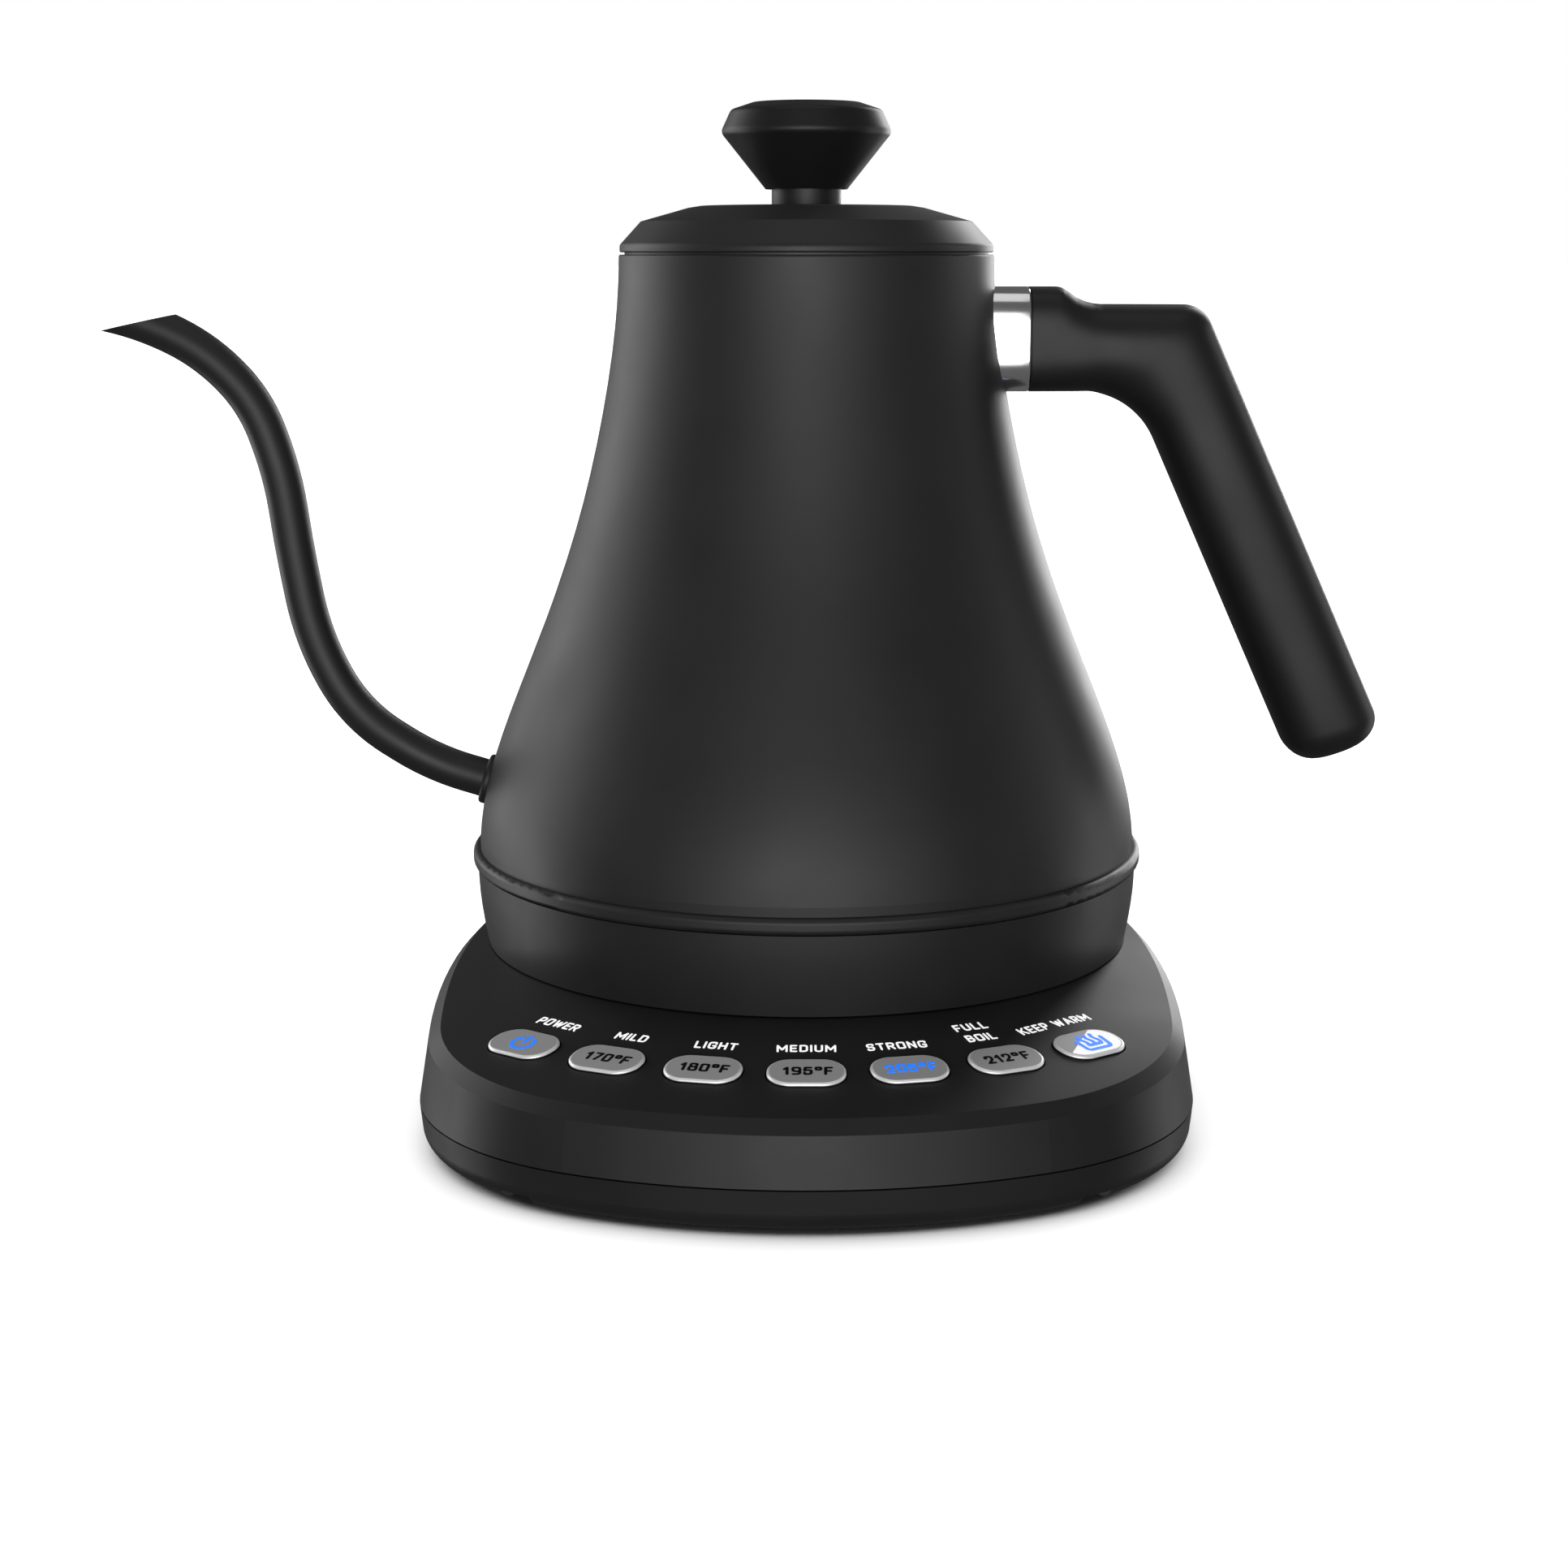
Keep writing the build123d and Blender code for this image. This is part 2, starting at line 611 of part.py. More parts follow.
with BuildPart() as collar_ring:
    low, high = COLLAR_LOW, COLLAR_HIGH
    inner = SHELL_FOOT_RADIUS + SLIP
    add(turned([(inner, low), (COLLAR_RADIUS, low), (COLLAR_RADIUS, high), (inner, high)]))
    fillet(round_edges(collar_ring)[-2:], 1.3)
save(collar_ring, "collar_ring")

with BuildPart() as bottom_skirt:
    with BuildSketch(Plane.XZ):
        with BuildLine():
            outside = Spline(*SKIRT_PROFILE)
            inside = Spline(*[(r - SKIRT_WALL, z) for r, z in SKIRT_PROFILE])
            Line(outside @ 0, inside @ 0)
            Line(outside @ 1, inside @ 1)
        make_face()
    revolve(axis=Axis.Z)
    spigot = SHELL_FOOT_RADIUS - SHELL_WALL - SLIP
    low, high = SHELL_FOOT - 2, PLATE_LOW
    add(turned([(spigot - 1.6, low), (spigot, low), (spigot, high), (spigot - 1.6, high)]))
    with PolarLocations(70.0, 3, start_angle=90):
        with Locations((0, 0, INNER_COVER_HIGH + SLIP)):
            Cylinder(4.2, 12.0, align=ON_END)
            Cylinder(1.3, 10.0, align=ON_END, mode=Mode.SUBTRACT)
save(bottom_skirt, "bottom_skirt")

probe_hole = (0, PROBE_Y, DIFFUSER_LOW - 5)
plate_radius = SHELL_FOOT_RADIUS - SHELL_WALL - SLIP

with BuildPart() as heater_plate:
    with Locations((0, 0, PLATE_LOW)):
        Cylinder(plate_radius, PLATE_HIGH - PLATE_LOW, align=ON_END)
    with Locations(probe_hole):
        Cylinder(PROBE_RADIUS + SLIP, 20, align=ON_END, mode=Mode.SUBTRACT)
save(heater_plate, "heater_plate")

with BuildPart() as heat_diffuser:
    with Locations((0, 0, DIFFUSER_LOW)):
        Cylinder(63.0, PLATE_LOW - DIFFUSER_LOW, align=ON_END)
    with Locations(probe_hole):
        Cylinder(PROBE_RADIUS + SLIP, 20, align=ON_END, mode=Mode.SUBTRACT)
save(heat_diffuser, "heat_diffuser")

with BuildPart() as heating_element:
    # sheathed element bent to an open ring, with a cold pin at each end
    element_z = DIFFUSER_LOW - ELEMENT_RADIUS
    with BuildSketch(Plane.XZ):
        with Locations((ELEMENT_RING, element_z)):
            Circle(ELEMENT_RADIUS)
    revolve(axis=Axis.Z, revolution_arc=330)
    with PolarLocations(ELEMENT_RING, 2, start_angle=4, angular_range=322, endpoint=True):
        with Locations((0, 0, element_z)):
            Cylinder(1.5, 8.0, align=(Align.CENTER, Align.CENTER, Align.MAX))
save(heating_element, "heating_element")

with BuildPart() as kettle_coupler:
    add(
        turned(
            [
                (SOCKET_RADIUS, INNER_COVER_LOW),
                (SOCKET_OUTER, INNER_COVER_LOW),
                (SOCKET_OUTER, INNER_COVER_HIGH + 1),
                (SOCKET_OUTER - 3.0, INNER_COVER_HIGH + 4),
                (SOCKET_OUTER - 3.0, SOCKET_TOP + 2.2),
                (0, SOCKET_TOP + 2.2),
                (0, SOCKET_TOP - 1),
                (2.1, SOCKET_TOP - 1),
                (2.1, GROOVE_LOW + 3),
                (4.3, GROOVE_LOW + 3),
                (4.3, SOCKET_TOP),
                (SOCKET_RADIUS, SOCKET_TOP),
            ]
        )
    )
save(kettle_coupler, "kettle_coupler")

with BuildPart() as temperature_probe:
    with Locations((0, PROBE_Y, DIFFUSER_LOW - 7)):
        Cylinder(PROBE_RADIUS, 20.5, align=ON_END)
    fillet(temperature_probe.edges().group_by(Axis.Z)[-1], 2.0)
save(temperature_probe, "temperature_probe")

with BuildPart() as probe_seal:
    with Locations((0, PROBE_Y, PLATE_HIGH)):
        Cylinder(PROBE_RADIUS + 2.6, 1.6, align=ON_END)
        Cylinder(PROBE_RADIUS + SLIP, 3, align=ON_END, mode=Mode.SUBTRACT)
    fillet(round_edges(probe_seal)[-1], 0.6)
save(probe_seal, "probe_seal")

with BuildPart() as thermal_fuses:
    with Locations((0, -34.0, DIFFUSER_LOW - 3), (0, 34.0, DIFFUSER_LOW - 3)):
        Cylinder(3.0, 16.0, rotation=(0, 90, 0))
save(thermal_fuses, "thermal_fuses")

cover_screws = [(70.0 * cos(radians(a)), 70.0 * sin(radians(a))) for a in (90, 210, 330)]

with BuildPart() as kettle_bottom_cover:
    with Locations((0, 0, INNER_COVER_LOW)):
        Cylinder(72.4, INNER_COVER_HIGH - INNER_COVER_LOW, align=ON_END)
        Cylinder(SOCKET_OUTER + SLIP, 4, align=ON_END, mode=Mode.SUBTRACT)
    with Locations(*[(x, y, INNER_COVER_LOW) for x, y in cover_screws]):
        Cylinder(1.4, 4, align=ON_END, mode=Mode.SUBTRACT)
        Cylinder(2.2, 1.2, align=ON_END, mode=Mode.SUBTRACT)
save(kettle_bottom_cover, "kettle_bottom_cover")

kettle_cover_screws = screws(cover_screws, INNER_COVER_LOW + 0.1, 2.1, 1.1, 1.25, 43.0)
save(kettle_cover_screws, "kettle_cover_screws")

# ---------------------------------------------------------------- handle

handle_height = HANDLE_HIGH - HANDLE_LOW
handle_middle = (HANDLE_HIGH + HANDLE_LOW) / 2
tongue_middle = (TONGUE_HIGH + TONGUE_LOW) / 2
tongue_height = TONGUE_HIGH - TONGUE_LOW
ferrule_plane = Plane(origin=(FERRULE_END, 0, handle_middle), x_dir=(0, 1, 0), z_dir=(1, 0, 0))

with BuildPart() as handle_bracket:
    # a pad that follows the body, and a tongue that the grip slides onto
    with BuildSketch(Plane(origin=(0, 0, tongue_middle), x_dir=(0, 1, 0), z_dir=(1, 0, 0))):
        RectangleRounded(2 * TONGUE_HALF_WIDTH, tongue_height, 2.0)
    extrude(amount=TONGUE_END)
    with Locations((HANDLE_SCREW_X, 0, TONGUE_LOW - 1)):
        Cylinder(1.7, 9.0, align=ON_END, mode=Mode.SUBTRACT)
    add(kettle_skin, mode=Mode.SUBTRACT)
save(handle_bracket, "handle_bracket")

with BuildPart() as handle_ferrule:
    with BuildSketch(ferrule_plane):
        RectangleRounded(2 * HANDLE_HALF_WIDTH, handle_height, HANDLE_EDGE)
        RectangleRounded(2 * HANDLE_HALF_WIDTH - 4, handle_height - 4, HANDLE_EDGE - 2, mode=Mode.SUBTRACT)
    extrude(amount=-15.0)
    add(kettle_skin, mode=Mode.SUBTRACT)
save(handle_ferrule, "handle_ferrule")

with BuildPart() as handle_grip:
    with BuildSketch(Plane.XZ):
        with BuildLine():
            FilletPolyline(*GRIP_CORNERS, radius=GRIP_RADII, close=True)
        make_face()
    extrude(amount=HANDLE_HALF_WIDTH, both=True)
    long_edges = [
        edge
        for face in handle_grip.faces().filter_by(Axis.Y)
        for edge in face.edges()
        if edge.bounding_box().max.X > FERRULE_END + 0.1
    ]
    fillet(long_edges, HANDLE_EDGE)
    with BuildSketch(Plane(origin=(FERRULE_END - 1, 0, tongue_middle), x_dir=(0, 1, 0), z_dir=(1, 0, 0))):
        RectangleRounded(2 * TONGUE_HALF_WIDTH + 2 * SLIP, tongue_height + 2 * SLIP, 2.0)
    extrude(amount=TONGUE_END + 1.5 - FERRULE_END, mode=Mode.SUBTRACT)
    with Locations((HANDLE_SCREW_X, 0, HANDLE_LOW - 2)):
        Cylinder(3.3, 4.5, align=ON_END, mode=Mode.SUBTRACT)
        Cylinder(1.9, 12.0, align=ON_END, mode=Mode.SUBTRACT)
save(handle_grip, "handle_grip")

handle_screw = screws([(HANDLE_SCREW_X, 0)], HANDLE_LOW + 0.6, 3.1, 1.8, 1.6, 171.0)
save(handle_screw, "handle_screw")

# ---------------------------------------------------------------- lid

with BuildPart() as lid_cover:
    add(turned(LID_OUTER + LID_LIP + LID_INNER))
    fillet(lid_cover.edges().filter_by(lambda edge: abs((edge @ 0).Z - LID_OUTER[4][1]) < 0.01), 1.2)
    rim_edge = [edge for edge in round_edges(lid_cover) if abs((edge @ 0).Z - LID_RIM) < 0.01][-1]
    fillet(rim_edge, 0.4)
    with Locations((0, 0, LID_INNER[-1][1] - 1)):
        Cylinder(KNOB_SCREW_RADIUS + SLIP, 5, align=ON_END, mode=Mode.SUBTRACT)
save(lid_cover, "lid_cover")

with BuildPart() as lid_plug:
    inner = PLUG_RADIUS - PLUG_WALL
    add(
        turned(
            [
                (0, PLUG_LOW),
                (PLUG_RADIUS, PLUG_LOW),
                (PLUG_RADIUS, SEAL_LOW - SLIP),
                (PLUG_RADIUS - 0.6, SEAL_LOW - SLIP),
                (PLUG_RADIUS - 0.6, SEAL_HIGH + SLIP),
                (PLUG_RADIUS, SEAL_HIGH + SLIP),
                (PLUG_RADIUS, PLUG_HIGH),
                (inner, PLUG_HIGH),
                (inner, PLUG_LOW + PLUG_WALL),
                (0, PLUG_LOW + PLUG_WALL),
            ]
        )
    )
    # steam holes round the floor, and a middle hole for the knob's screw
    with PolarLocations(27.0, 10):
        with Locations((0, 0, PLUG_LOW)):
            Cylinder(2.4, 6, mode=Mode.SUBTRACT)
    with Locations((0, 0, PLUG_LOW)):
        Cylinder(6.0, 6, mode=Mode.SUBTRACT)
save(lid_plug, "lid_plug")

with BuildPart() as lid_seal:
    root = PLUG_RADIUS - 0.6 + SLIP
    add(turned([(root, SEAL_LOW), (SEAL_RADIUS, SEAL_LOW), (SEAL_RADIUS, SEAL_HIGH), (root, SEAL_HIGH)]))
    fillet(round_edges(lid_seal)[-2:], 0.6)
save(lid_seal, "lid_seal")

with BuildPart() as knob_stem:
    with Locations((0, 0, LID_OUTER[0][1])):
        Cylinder(STEM_RADIUS, STEM_TOP - LID_OUTER[0][1], align=ON_END)
        Cylinder(KNOB_SCREW_RADIUS + SLIP, 5, align=ON_END, mode=Mode.SUBTRACT)
save(knob_stem, "knob_stem")

with BuildPart() as lid_knob:
    with BuildSketch(Plane.XZ) as knob_section:
        with BuildLine():
            Polyline((0, STEM_TOP), *KNOB_PROFILE, (0, KNOB_PROFILE[-1][1]), close=True)
        make_face()
        corners = knob_section.vertices().filter_by(lambda corner: corner.X > 10)
        fillet(corners, 1.6)
    revolve(axis=Axis.Z)
    with Locations((0, 0, STEM_TOP - 1)):
        Cylinder(KNOB_SCREW_RADIUS + SLIP, 11, align=ON_END, mode=Mode.SUBTRACT)
save(lid_knob, "lid_knob")

screw_head = 2.6
knob_screw = screws(
    [(0, 0)], LID_INNER[-1][1] - screw_head - SLIP, 3.8, screw_head, KNOB_SCREW_RADIUS, STEM_TOP + 9
)
save(knob_screw, "knob_screw")
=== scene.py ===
"""Finer grip, ferrule and buttons, legends, materials, lights and camera for the gooseneck kettle.

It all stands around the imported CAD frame. Metres, with +Z up and the button panel towards -Y.
"""

import json
import math

import bmesh
import bpy
from mathutils import Matrix, Vector
from mathutils.bvhtree import BVHTree
from mathutils.geometry import delaunay_2d_cdt


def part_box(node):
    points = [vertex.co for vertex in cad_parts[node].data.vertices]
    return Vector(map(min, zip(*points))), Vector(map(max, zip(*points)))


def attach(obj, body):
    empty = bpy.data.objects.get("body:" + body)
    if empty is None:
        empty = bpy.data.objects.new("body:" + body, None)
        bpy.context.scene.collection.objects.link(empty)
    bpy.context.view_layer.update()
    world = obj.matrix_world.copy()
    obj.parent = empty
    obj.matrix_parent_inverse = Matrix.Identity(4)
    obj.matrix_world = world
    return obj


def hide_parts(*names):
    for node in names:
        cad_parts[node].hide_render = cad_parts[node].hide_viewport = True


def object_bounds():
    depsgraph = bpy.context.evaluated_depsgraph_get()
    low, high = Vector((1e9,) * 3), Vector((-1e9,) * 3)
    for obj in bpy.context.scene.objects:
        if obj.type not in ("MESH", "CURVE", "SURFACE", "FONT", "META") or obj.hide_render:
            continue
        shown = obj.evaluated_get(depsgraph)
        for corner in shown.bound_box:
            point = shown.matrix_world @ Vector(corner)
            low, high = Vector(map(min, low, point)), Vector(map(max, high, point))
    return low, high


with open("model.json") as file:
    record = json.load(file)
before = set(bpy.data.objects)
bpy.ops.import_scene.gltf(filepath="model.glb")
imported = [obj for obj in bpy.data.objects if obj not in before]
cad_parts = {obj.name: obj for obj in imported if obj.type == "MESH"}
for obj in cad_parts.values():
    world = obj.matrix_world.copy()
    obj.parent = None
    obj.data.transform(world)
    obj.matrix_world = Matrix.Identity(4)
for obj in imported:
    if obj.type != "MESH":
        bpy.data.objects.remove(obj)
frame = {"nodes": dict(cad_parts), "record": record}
cad_low, cad_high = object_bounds()

MM = 0.001

# ---------------------------------------------------------------- materials


def new_material(name, color, roughness, metallic=0.0, specular=0.5):
    """A principled material, with its nodes and links to add detail to."""
    material = bpy.data.materials.new(name)
    material.use_nodes = True
    shader = material.node_tree.nodes["Principled BSDF"]
    shader.inputs["Base Color"].default_value = (*color, 1.0)
    shader.inputs["Roughness"].default_value = roughness
    shader.inputs["Metallic"].default_value = metallic
    shader.inputs["Specular IOR Level"].default_value = specular
    return material, shader


def add_noise(material, scale, detail=3.0, stretch=(1, 1, 1)):
    """Noise over the object's own coordinates, in metres."""
    nodes, links = material.node_tree.nodes, material.node_tree.links
    place = nodes.new("ShaderNodeTexCoord")
    mapping = nodes.new("ShaderNodeMapping")
    mapping.inputs["Scale"].default_value = stretch
    noise = nodes.new("ShaderNodeTexNoise")
    noise.inputs["Scale"].default_value = scale
    noise.inputs["Detail"].default_value = detail
    links.new(place.outputs["Object"], mapping.inputs["Vector"])
    links.new(mapping.outputs["Vector"], noise.inputs["Vector"])
    return noise


def add_bump(material, shader, noise, strength, distance):
    """Fine relief from a noise."""
    nodes, links = material.node_tree.nodes, material.node_tree.links
    bump = nodes.new("ShaderNodeBump")
    bump.inputs["Strength"].default_value = strength
    bump.inputs["Distance"].default_value = distance
    links.new(noise.outputs["Fac"], bump.inputs["Height"])
    links.new(bump.outputs["Normal"], shader.inputs["Normal"])


def vary(material, shader, socket, noise, low, high):
    """Lets a noise carry a colour or a value between two limits."""
    nodes, links = material.node_tree.nodes, material.node_tree.links
    ramp = nodes.new("ShaderNodeValToRGB")
    ramp.color_ramp.elements[0].position = 0.3
    ramp.color_ramp.elements[1].position = 0.7
    ramp.color_ramp.elements[0].color = (*low, 1.0)
    ramp.color_ramp.elements[1].color = (*high, 1.0)
    links.new(noise.outputs["Fac"], ramp.inputs["Fac"])
    links.new(ramp.outputs["Color"], shader.inputs[socket])


def grey(value):
    return (value, value, value)


def moulded(name, dark, light, roughness, grain, depth, specular=0.5):
    """Matt plastic or powder coat: fine grain in relief, faint mottling in colour and gloss."""
    material, shader = new_material(name, light, roughness, specular=specular)
    fine = add_noise(material, grain, 2.0)
    add_bump(material, shader, fine, 0.35, depth)
    broad = add_noise(material, 45.0, 4.0)
    vary(material, shader, "Base Color", broad, dark, light)
    vary(material, shader, "Roughness", broad, grey(roughness - 0.03), grey(roughness + 0.03))
    return material


def brushed(name, color, roughness, stretch, metallic=1.0, depth=0.00002, spread=0.04):
    """Metal with fine brush lines along one direction."""
    material, shader = new_material(name, color, roughness, metallic)
    lines = add_noise(material, 900.0, 3.0, stretch)
    add_bump(material, shader, lines, 0.12, depth)
    vary(material, shader, "Roughness", lines, grey(roughness - spread), grey(roughness + spread))
    return material


def glowing(name, color, strength):
    """A lit legend behind a clear lens, a little uneven."""
    material, shader = new_material(name, color, 0.4)
    shader.inputs["Emission Color"].default_value = (*color, 1.0)
    shader.inputs["Emission Strength"].default_value = strength
    add_bump(material, shader, add_noise(material, 2500.0, 2.0), 0.1, 0.00001)
    return material


def ink(name, color, roughness, specular=0.5, glow=0.0):
    """Printed ink with a slight unevenness; glow gives it an emission, painted light that print itself does
    not give.
    """
    material, shader = new_material(name, color, roughness, specular=specular)
    shader.inputs["Emission Color"].default_value = (*color, 1.0)
    shader.inputs["Emission Strength"].default_value = glow
    specks = add_noise(material, 4000.0, 2.0)
    add_bump(material, shader, specks, 0.2, 0.00001)
    return material


MATERIALS = {
    "black_coat": moulded("powder_coat", grey(0.013), grey(0.016), 0.5, 2600.0, 0.00002, 0.34),
    "housing_plastic": moulded("housing_plastic", grey(0.0105), grey(0.013), 0.52, 3200.0, 0.00003, 0.3),
    "grip_plastic": moulded("soft_touch", grey(0.008), grey(0.0105), 0.5, 3800.0, 0.00002, 0.32),
    "knob_plastic": moulded("knob_plastic", grey(0.007), grey(0.009), 0.48, 3800.0, 0.00002, 0.32),
    "coupler_plastic": moulded("coupler_plastic", grey(0.03), grey(0.05), 0.55, 1500.0, 0.00004),
    "component_black": moulded("component_black", grey(0.02), grey(0.03), 0.4, 2500.0, 0.00002),
    "component_light": moulded("component_light", grey(0.6), grey(0.66), 0.4, 2500.0, 0.00001),
    "rubber": moulded("rubber", grey(0.02), grey(0.03), 0.75, 1800.0, 0.00004, 0.3),
    "silicone": moulded("silicone", grey(0.5), grey(0.56), 0.6, 1200.0, 0.00002, 0.4),
    "board_green": moulded("board_green", (0.01, 0.09, 0.03), (0.015, 0.13, 0.05), 0.3, 900.0, 0.00001),
    "stainless": brushed("stainless", grey(0.55), 0.34, (0.05, 0.05, 1), 1.0, 0.000003, 0.015),
    "polished_steel": brushed("polished_steel", grey(0.8), 0.17, (1, 1, 1), 1.0, 0.0000002, 0.006),
    "screw_steel": brushed("screw_steel", grey(0.5), 0.35, (1, 1, 1)),
    "aluminium": brushed("aluminium", grey(0.7), 0.35, (0.05, 1, 1)),
    "element_sheath": brushed("element_sheath", (0.26, 0.22, 0.19), 0.45, (1, 1, 1)),
    "brass": brushed("brass", (0.8, 0.58, 0.24), 0.25, (1, 1, 0.1)),
    "button_satin": brushed("button_satin", grey(0.42), 0.5, (0.06, 1, 1), 0.1),
}
bright_edge = brushed("button_edge", grey(0.9), 0.4, (1, 1, 1), 0.35, 0.000004)
# the white panel labels glow a little: painted light, an emission that brightens plain print
white_ink_painted_glow = ink("white_ink_painted_glow", grey(0.95), 0.5, glow=0.6)
black_ink = ink("black_ink", grey(0.002), 0.7, specular=0.1)
blue_light = glowing("blue_light", (0.01, 0.15, 0.87), 1.0)
white_light = glowing("white_light", grey(0.9), 0.5)

for part in frame["record"]["subparts"]:
    node = frame["nodes"][part["node"]]
    node.data.materials.clear()
    node.data.materials.append(MATERIALS[part["material_slot"]])
    node.data.polygons.foreach_set("use_smooth", [True] * len(node.data.polygons))

shell = frame["nodes"]["kettle_shell"].data
shell.materials.append(MATERIALS["stainless"])  # the body is bare steel inside
for face in shell.polygons:
    if face.center.xy.dot(face.normal.xy) < -1e-6:
        face.material_index = 1

# ---------------------------------------------------------------- mesh helpers


def new_piece(name, mesh, materials, body):
    """A finished piece that rides on a body."""
    for material in materials:
        mesh.materials.append(material)
    piece = bpy.data.objects.new(name, mesh)
    bpy.context.scene.collection.objects.link(piece)
    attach(piece, body)
    return piece


def lofted(name, rings, kinds=()):
    """A closed mesh through rings of equally many points; kinds numbers the material of each band."""
    count = len(rings[0])
    points = [point for ring in rings for point in ring]
    first, last = sum(rings[0], Vector()) / count, sum(rings[-1], Vector()) / count
    points += [first, last]
    faces = []
    for band in range(len(rings) - 1):
        for i in range(count):
            after = (i + 1) % count
            low, high = band * count, (band + 1) * count
            faces.append((low + i, low + after, high + after, high + i))
    top = (len(rings) - 1) * count
    for i in range(count):
        after = (i + 1) % count
        faces.append((after, i, len(points) - 2))
        faces.append((top + i, top + after, len(points) - 1))
    mesh = bpy.data.meshes.new(name)
    mesh.from_pydata(points, [], faces)
    for band, kind in enumerate(kinds):
        for i in range(count):
            mesh.polygons[band * count + i].material_index = kind
    tidy_mesh(mesh)
    return mesh


def tidy_mesh(mesh):
    """Normals outwards, smooth but for real edges."""
    shape = bmesh.new()
    shape.from_mesh(mesh)
    bmesh.ops.recalc_face_normals(shape, faces=shape.faces)
    shape.to_mesh(mesh)
    shape.free()
    mesh.polygons.foreach_set("use_smooth", [True] * len(mesh.polygons))
    mesh.set_sharp_from_angle(angle=math.radians(38))


def surface_of(node):
    """The CAD node's surface, to cast rays at."""
    mesh = frame["nodes"][node].data
    return BVHTree.FromPolygons([v.co for v in mesh.vertices], [p.vertices for p in mesh.polygons])


def superellipse(half_a, half_b, power, count=96):
    """Points round a superellipse."""
    points = []
    for step in range(count):
        turn = 2 * math.pi * step / count
        c, s = math.cos(turn), math.sin(turn)
        across = math.copysign(abs(c) ** (2 / power), c)
        along = math.copysign(abs(s) ** (2 / power), s)
        points.append((half_a * across, half_b * along))
    return points


def arc_steps(corner, before, after, radius, count):
    """Points of the arc that rounds a corner between two directions, in the XZ plane."""
    before, after = Vector(before).normalized(), Vector(after).normalized()
    half_turn = before.angle(after) / 2
    reach = radius * math.tan(half_turn)
    start = Vector(corner) - before * reach
    inward = (after - before).normalized()
    centre = Vector(corner) + inward * radius / math.cos(half_turn)
    spoke = start - centre
    turn = 2 * half_turn * (1 if before.cross(after) > 0 else -1)
    points = []
    for step in range(count + 1):
        angle = turn * step / count
        c, s = math.cos(angle), math.sin(angle)
        points.append(centre + Vector((spoke.x * c - spoke.y * s, spoke.x * s + spoke.y * c)))
    return points


def spaced(points, count):
    """Points at equal steps along a polyline."""
    lengths = [0.0]
    for here, after in zip(points, points[1:]):
        lengths.append(lengths[-1] + (after - here).length)
    result, i = [], 0
    for step in range(count + 1):
        target = lengths[-1] * step / count
        while i < len(points) - 2 and lengths[i + 1] < target:
            i += 1
        share = (target - lengths[i]) / (lengths[i + 1] - lengths[i])
        result.append(points[i].lerp(points[i + 1], share))
    return result


# ---------------------------------------------------------------- handle

GRIP_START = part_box("handle_grip")[0].x / MM
HALF_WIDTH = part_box("handle_grip")[1].y / MM
NECK_LOW, NECK_HIGH = 157.7, 181.2
GRIP_TOP = 177.23
ELBOW_OUT, ELBOW_IN = (89.84, GRIP_TOP), (74.5, NECK_LOW)
ELBOW_OUT_RADIUS, ELBOW_IN_RADIUS = 7.0, 18.6
END_OUT, END_IN = (134.9, 78.5), (113.8, 71.1)
END_ROUND = 7.0
END_OUT_INSET, END_IN_INSET = 8.2, 6.0  # how far the end rounds in from the outer and inner outline
NECK_POWER, GRIP_POWER = 3.4, 2.45  # how square the section is, at the neck and down the grip


def handle_ring(outer, inner, power, half_width=HALF_WIDTH):
    """A section of the handle between two points of its outline in the XZ plane, in metres."""
    middle, half = (outer + inner) / 2, (outer - inner) / 2
    ring = []
    for a, b in superellipse(1.0, half_width, power):
        ring.append(Vector((middle.x + half.x * a, b, middle.y + half.y * a)) * MM)
    return ring


def grip_pairs():
    """Pairs of outline points, outer and inner, and the section's power, from the neck to the end."""
    fall = [(59.1, 180.1), (60.9, 178.8), (62.8, 178.0), (64.6, 177.5), (66.5, 177.28)]
    neck_out = [Vector(p) for p in [(GRIP_START, NECK_HIGH), (56.6, NECK_HIGH), (57.6, 181.0), *fall]]
    neck_out = spaced(neck_out, 40)
    down_out = Vector(END_OUT) - Vector(ELBOW_OUT)
    down_in = Vector(END_IN) - Vector(ELBOW_IN)
    bend_in = arc_steps(ELBOW_IN, (1, 0), down_in, ELBOW_IN_RADIUS, 24)
    neck_in = spaced([Vector((GRIP_START, NECK_LOW)), bend_in[0]], 40)
    bend_out = arc_steps(ELBOW_OUT, (1, 0), down_out, ELBOW_OUT_RADIUS, 24)
    lead = (bend_out[0] - neck_out[-1]).length
    bend_out = [neck_out[-1], *bend_out, bend_out[-1] + down_out.normalized() * lead]
    bend_out, bend_in = spaced(bend_out, 60), spaced(bend_in, 60)
    run_out = spaced([bend_out[-1], Vector(END_OUT) - down_out.normalized() * END_ROUND], 24)
    run_in = spaced([bend_in[-1], Vector(END_IN) - down_in.normalized() * END_ROUND], 24)
    outer = neck_out + bend_out[1:] + run_out[1:]
    inner = neck_in + bend_in[1:] + run_in[1:]
    pairs = []
    for i, (out, into) in enumerate(zip(outer, inner)):
        share = min(max((i - 4) / 50, 0.0), 1.0)
        share = share * share * (3 - 2 * share)
        pairs.append((out, into, NECK_POWER + (GRIP_POWER - NECK_POWER) * share))
    return pairs


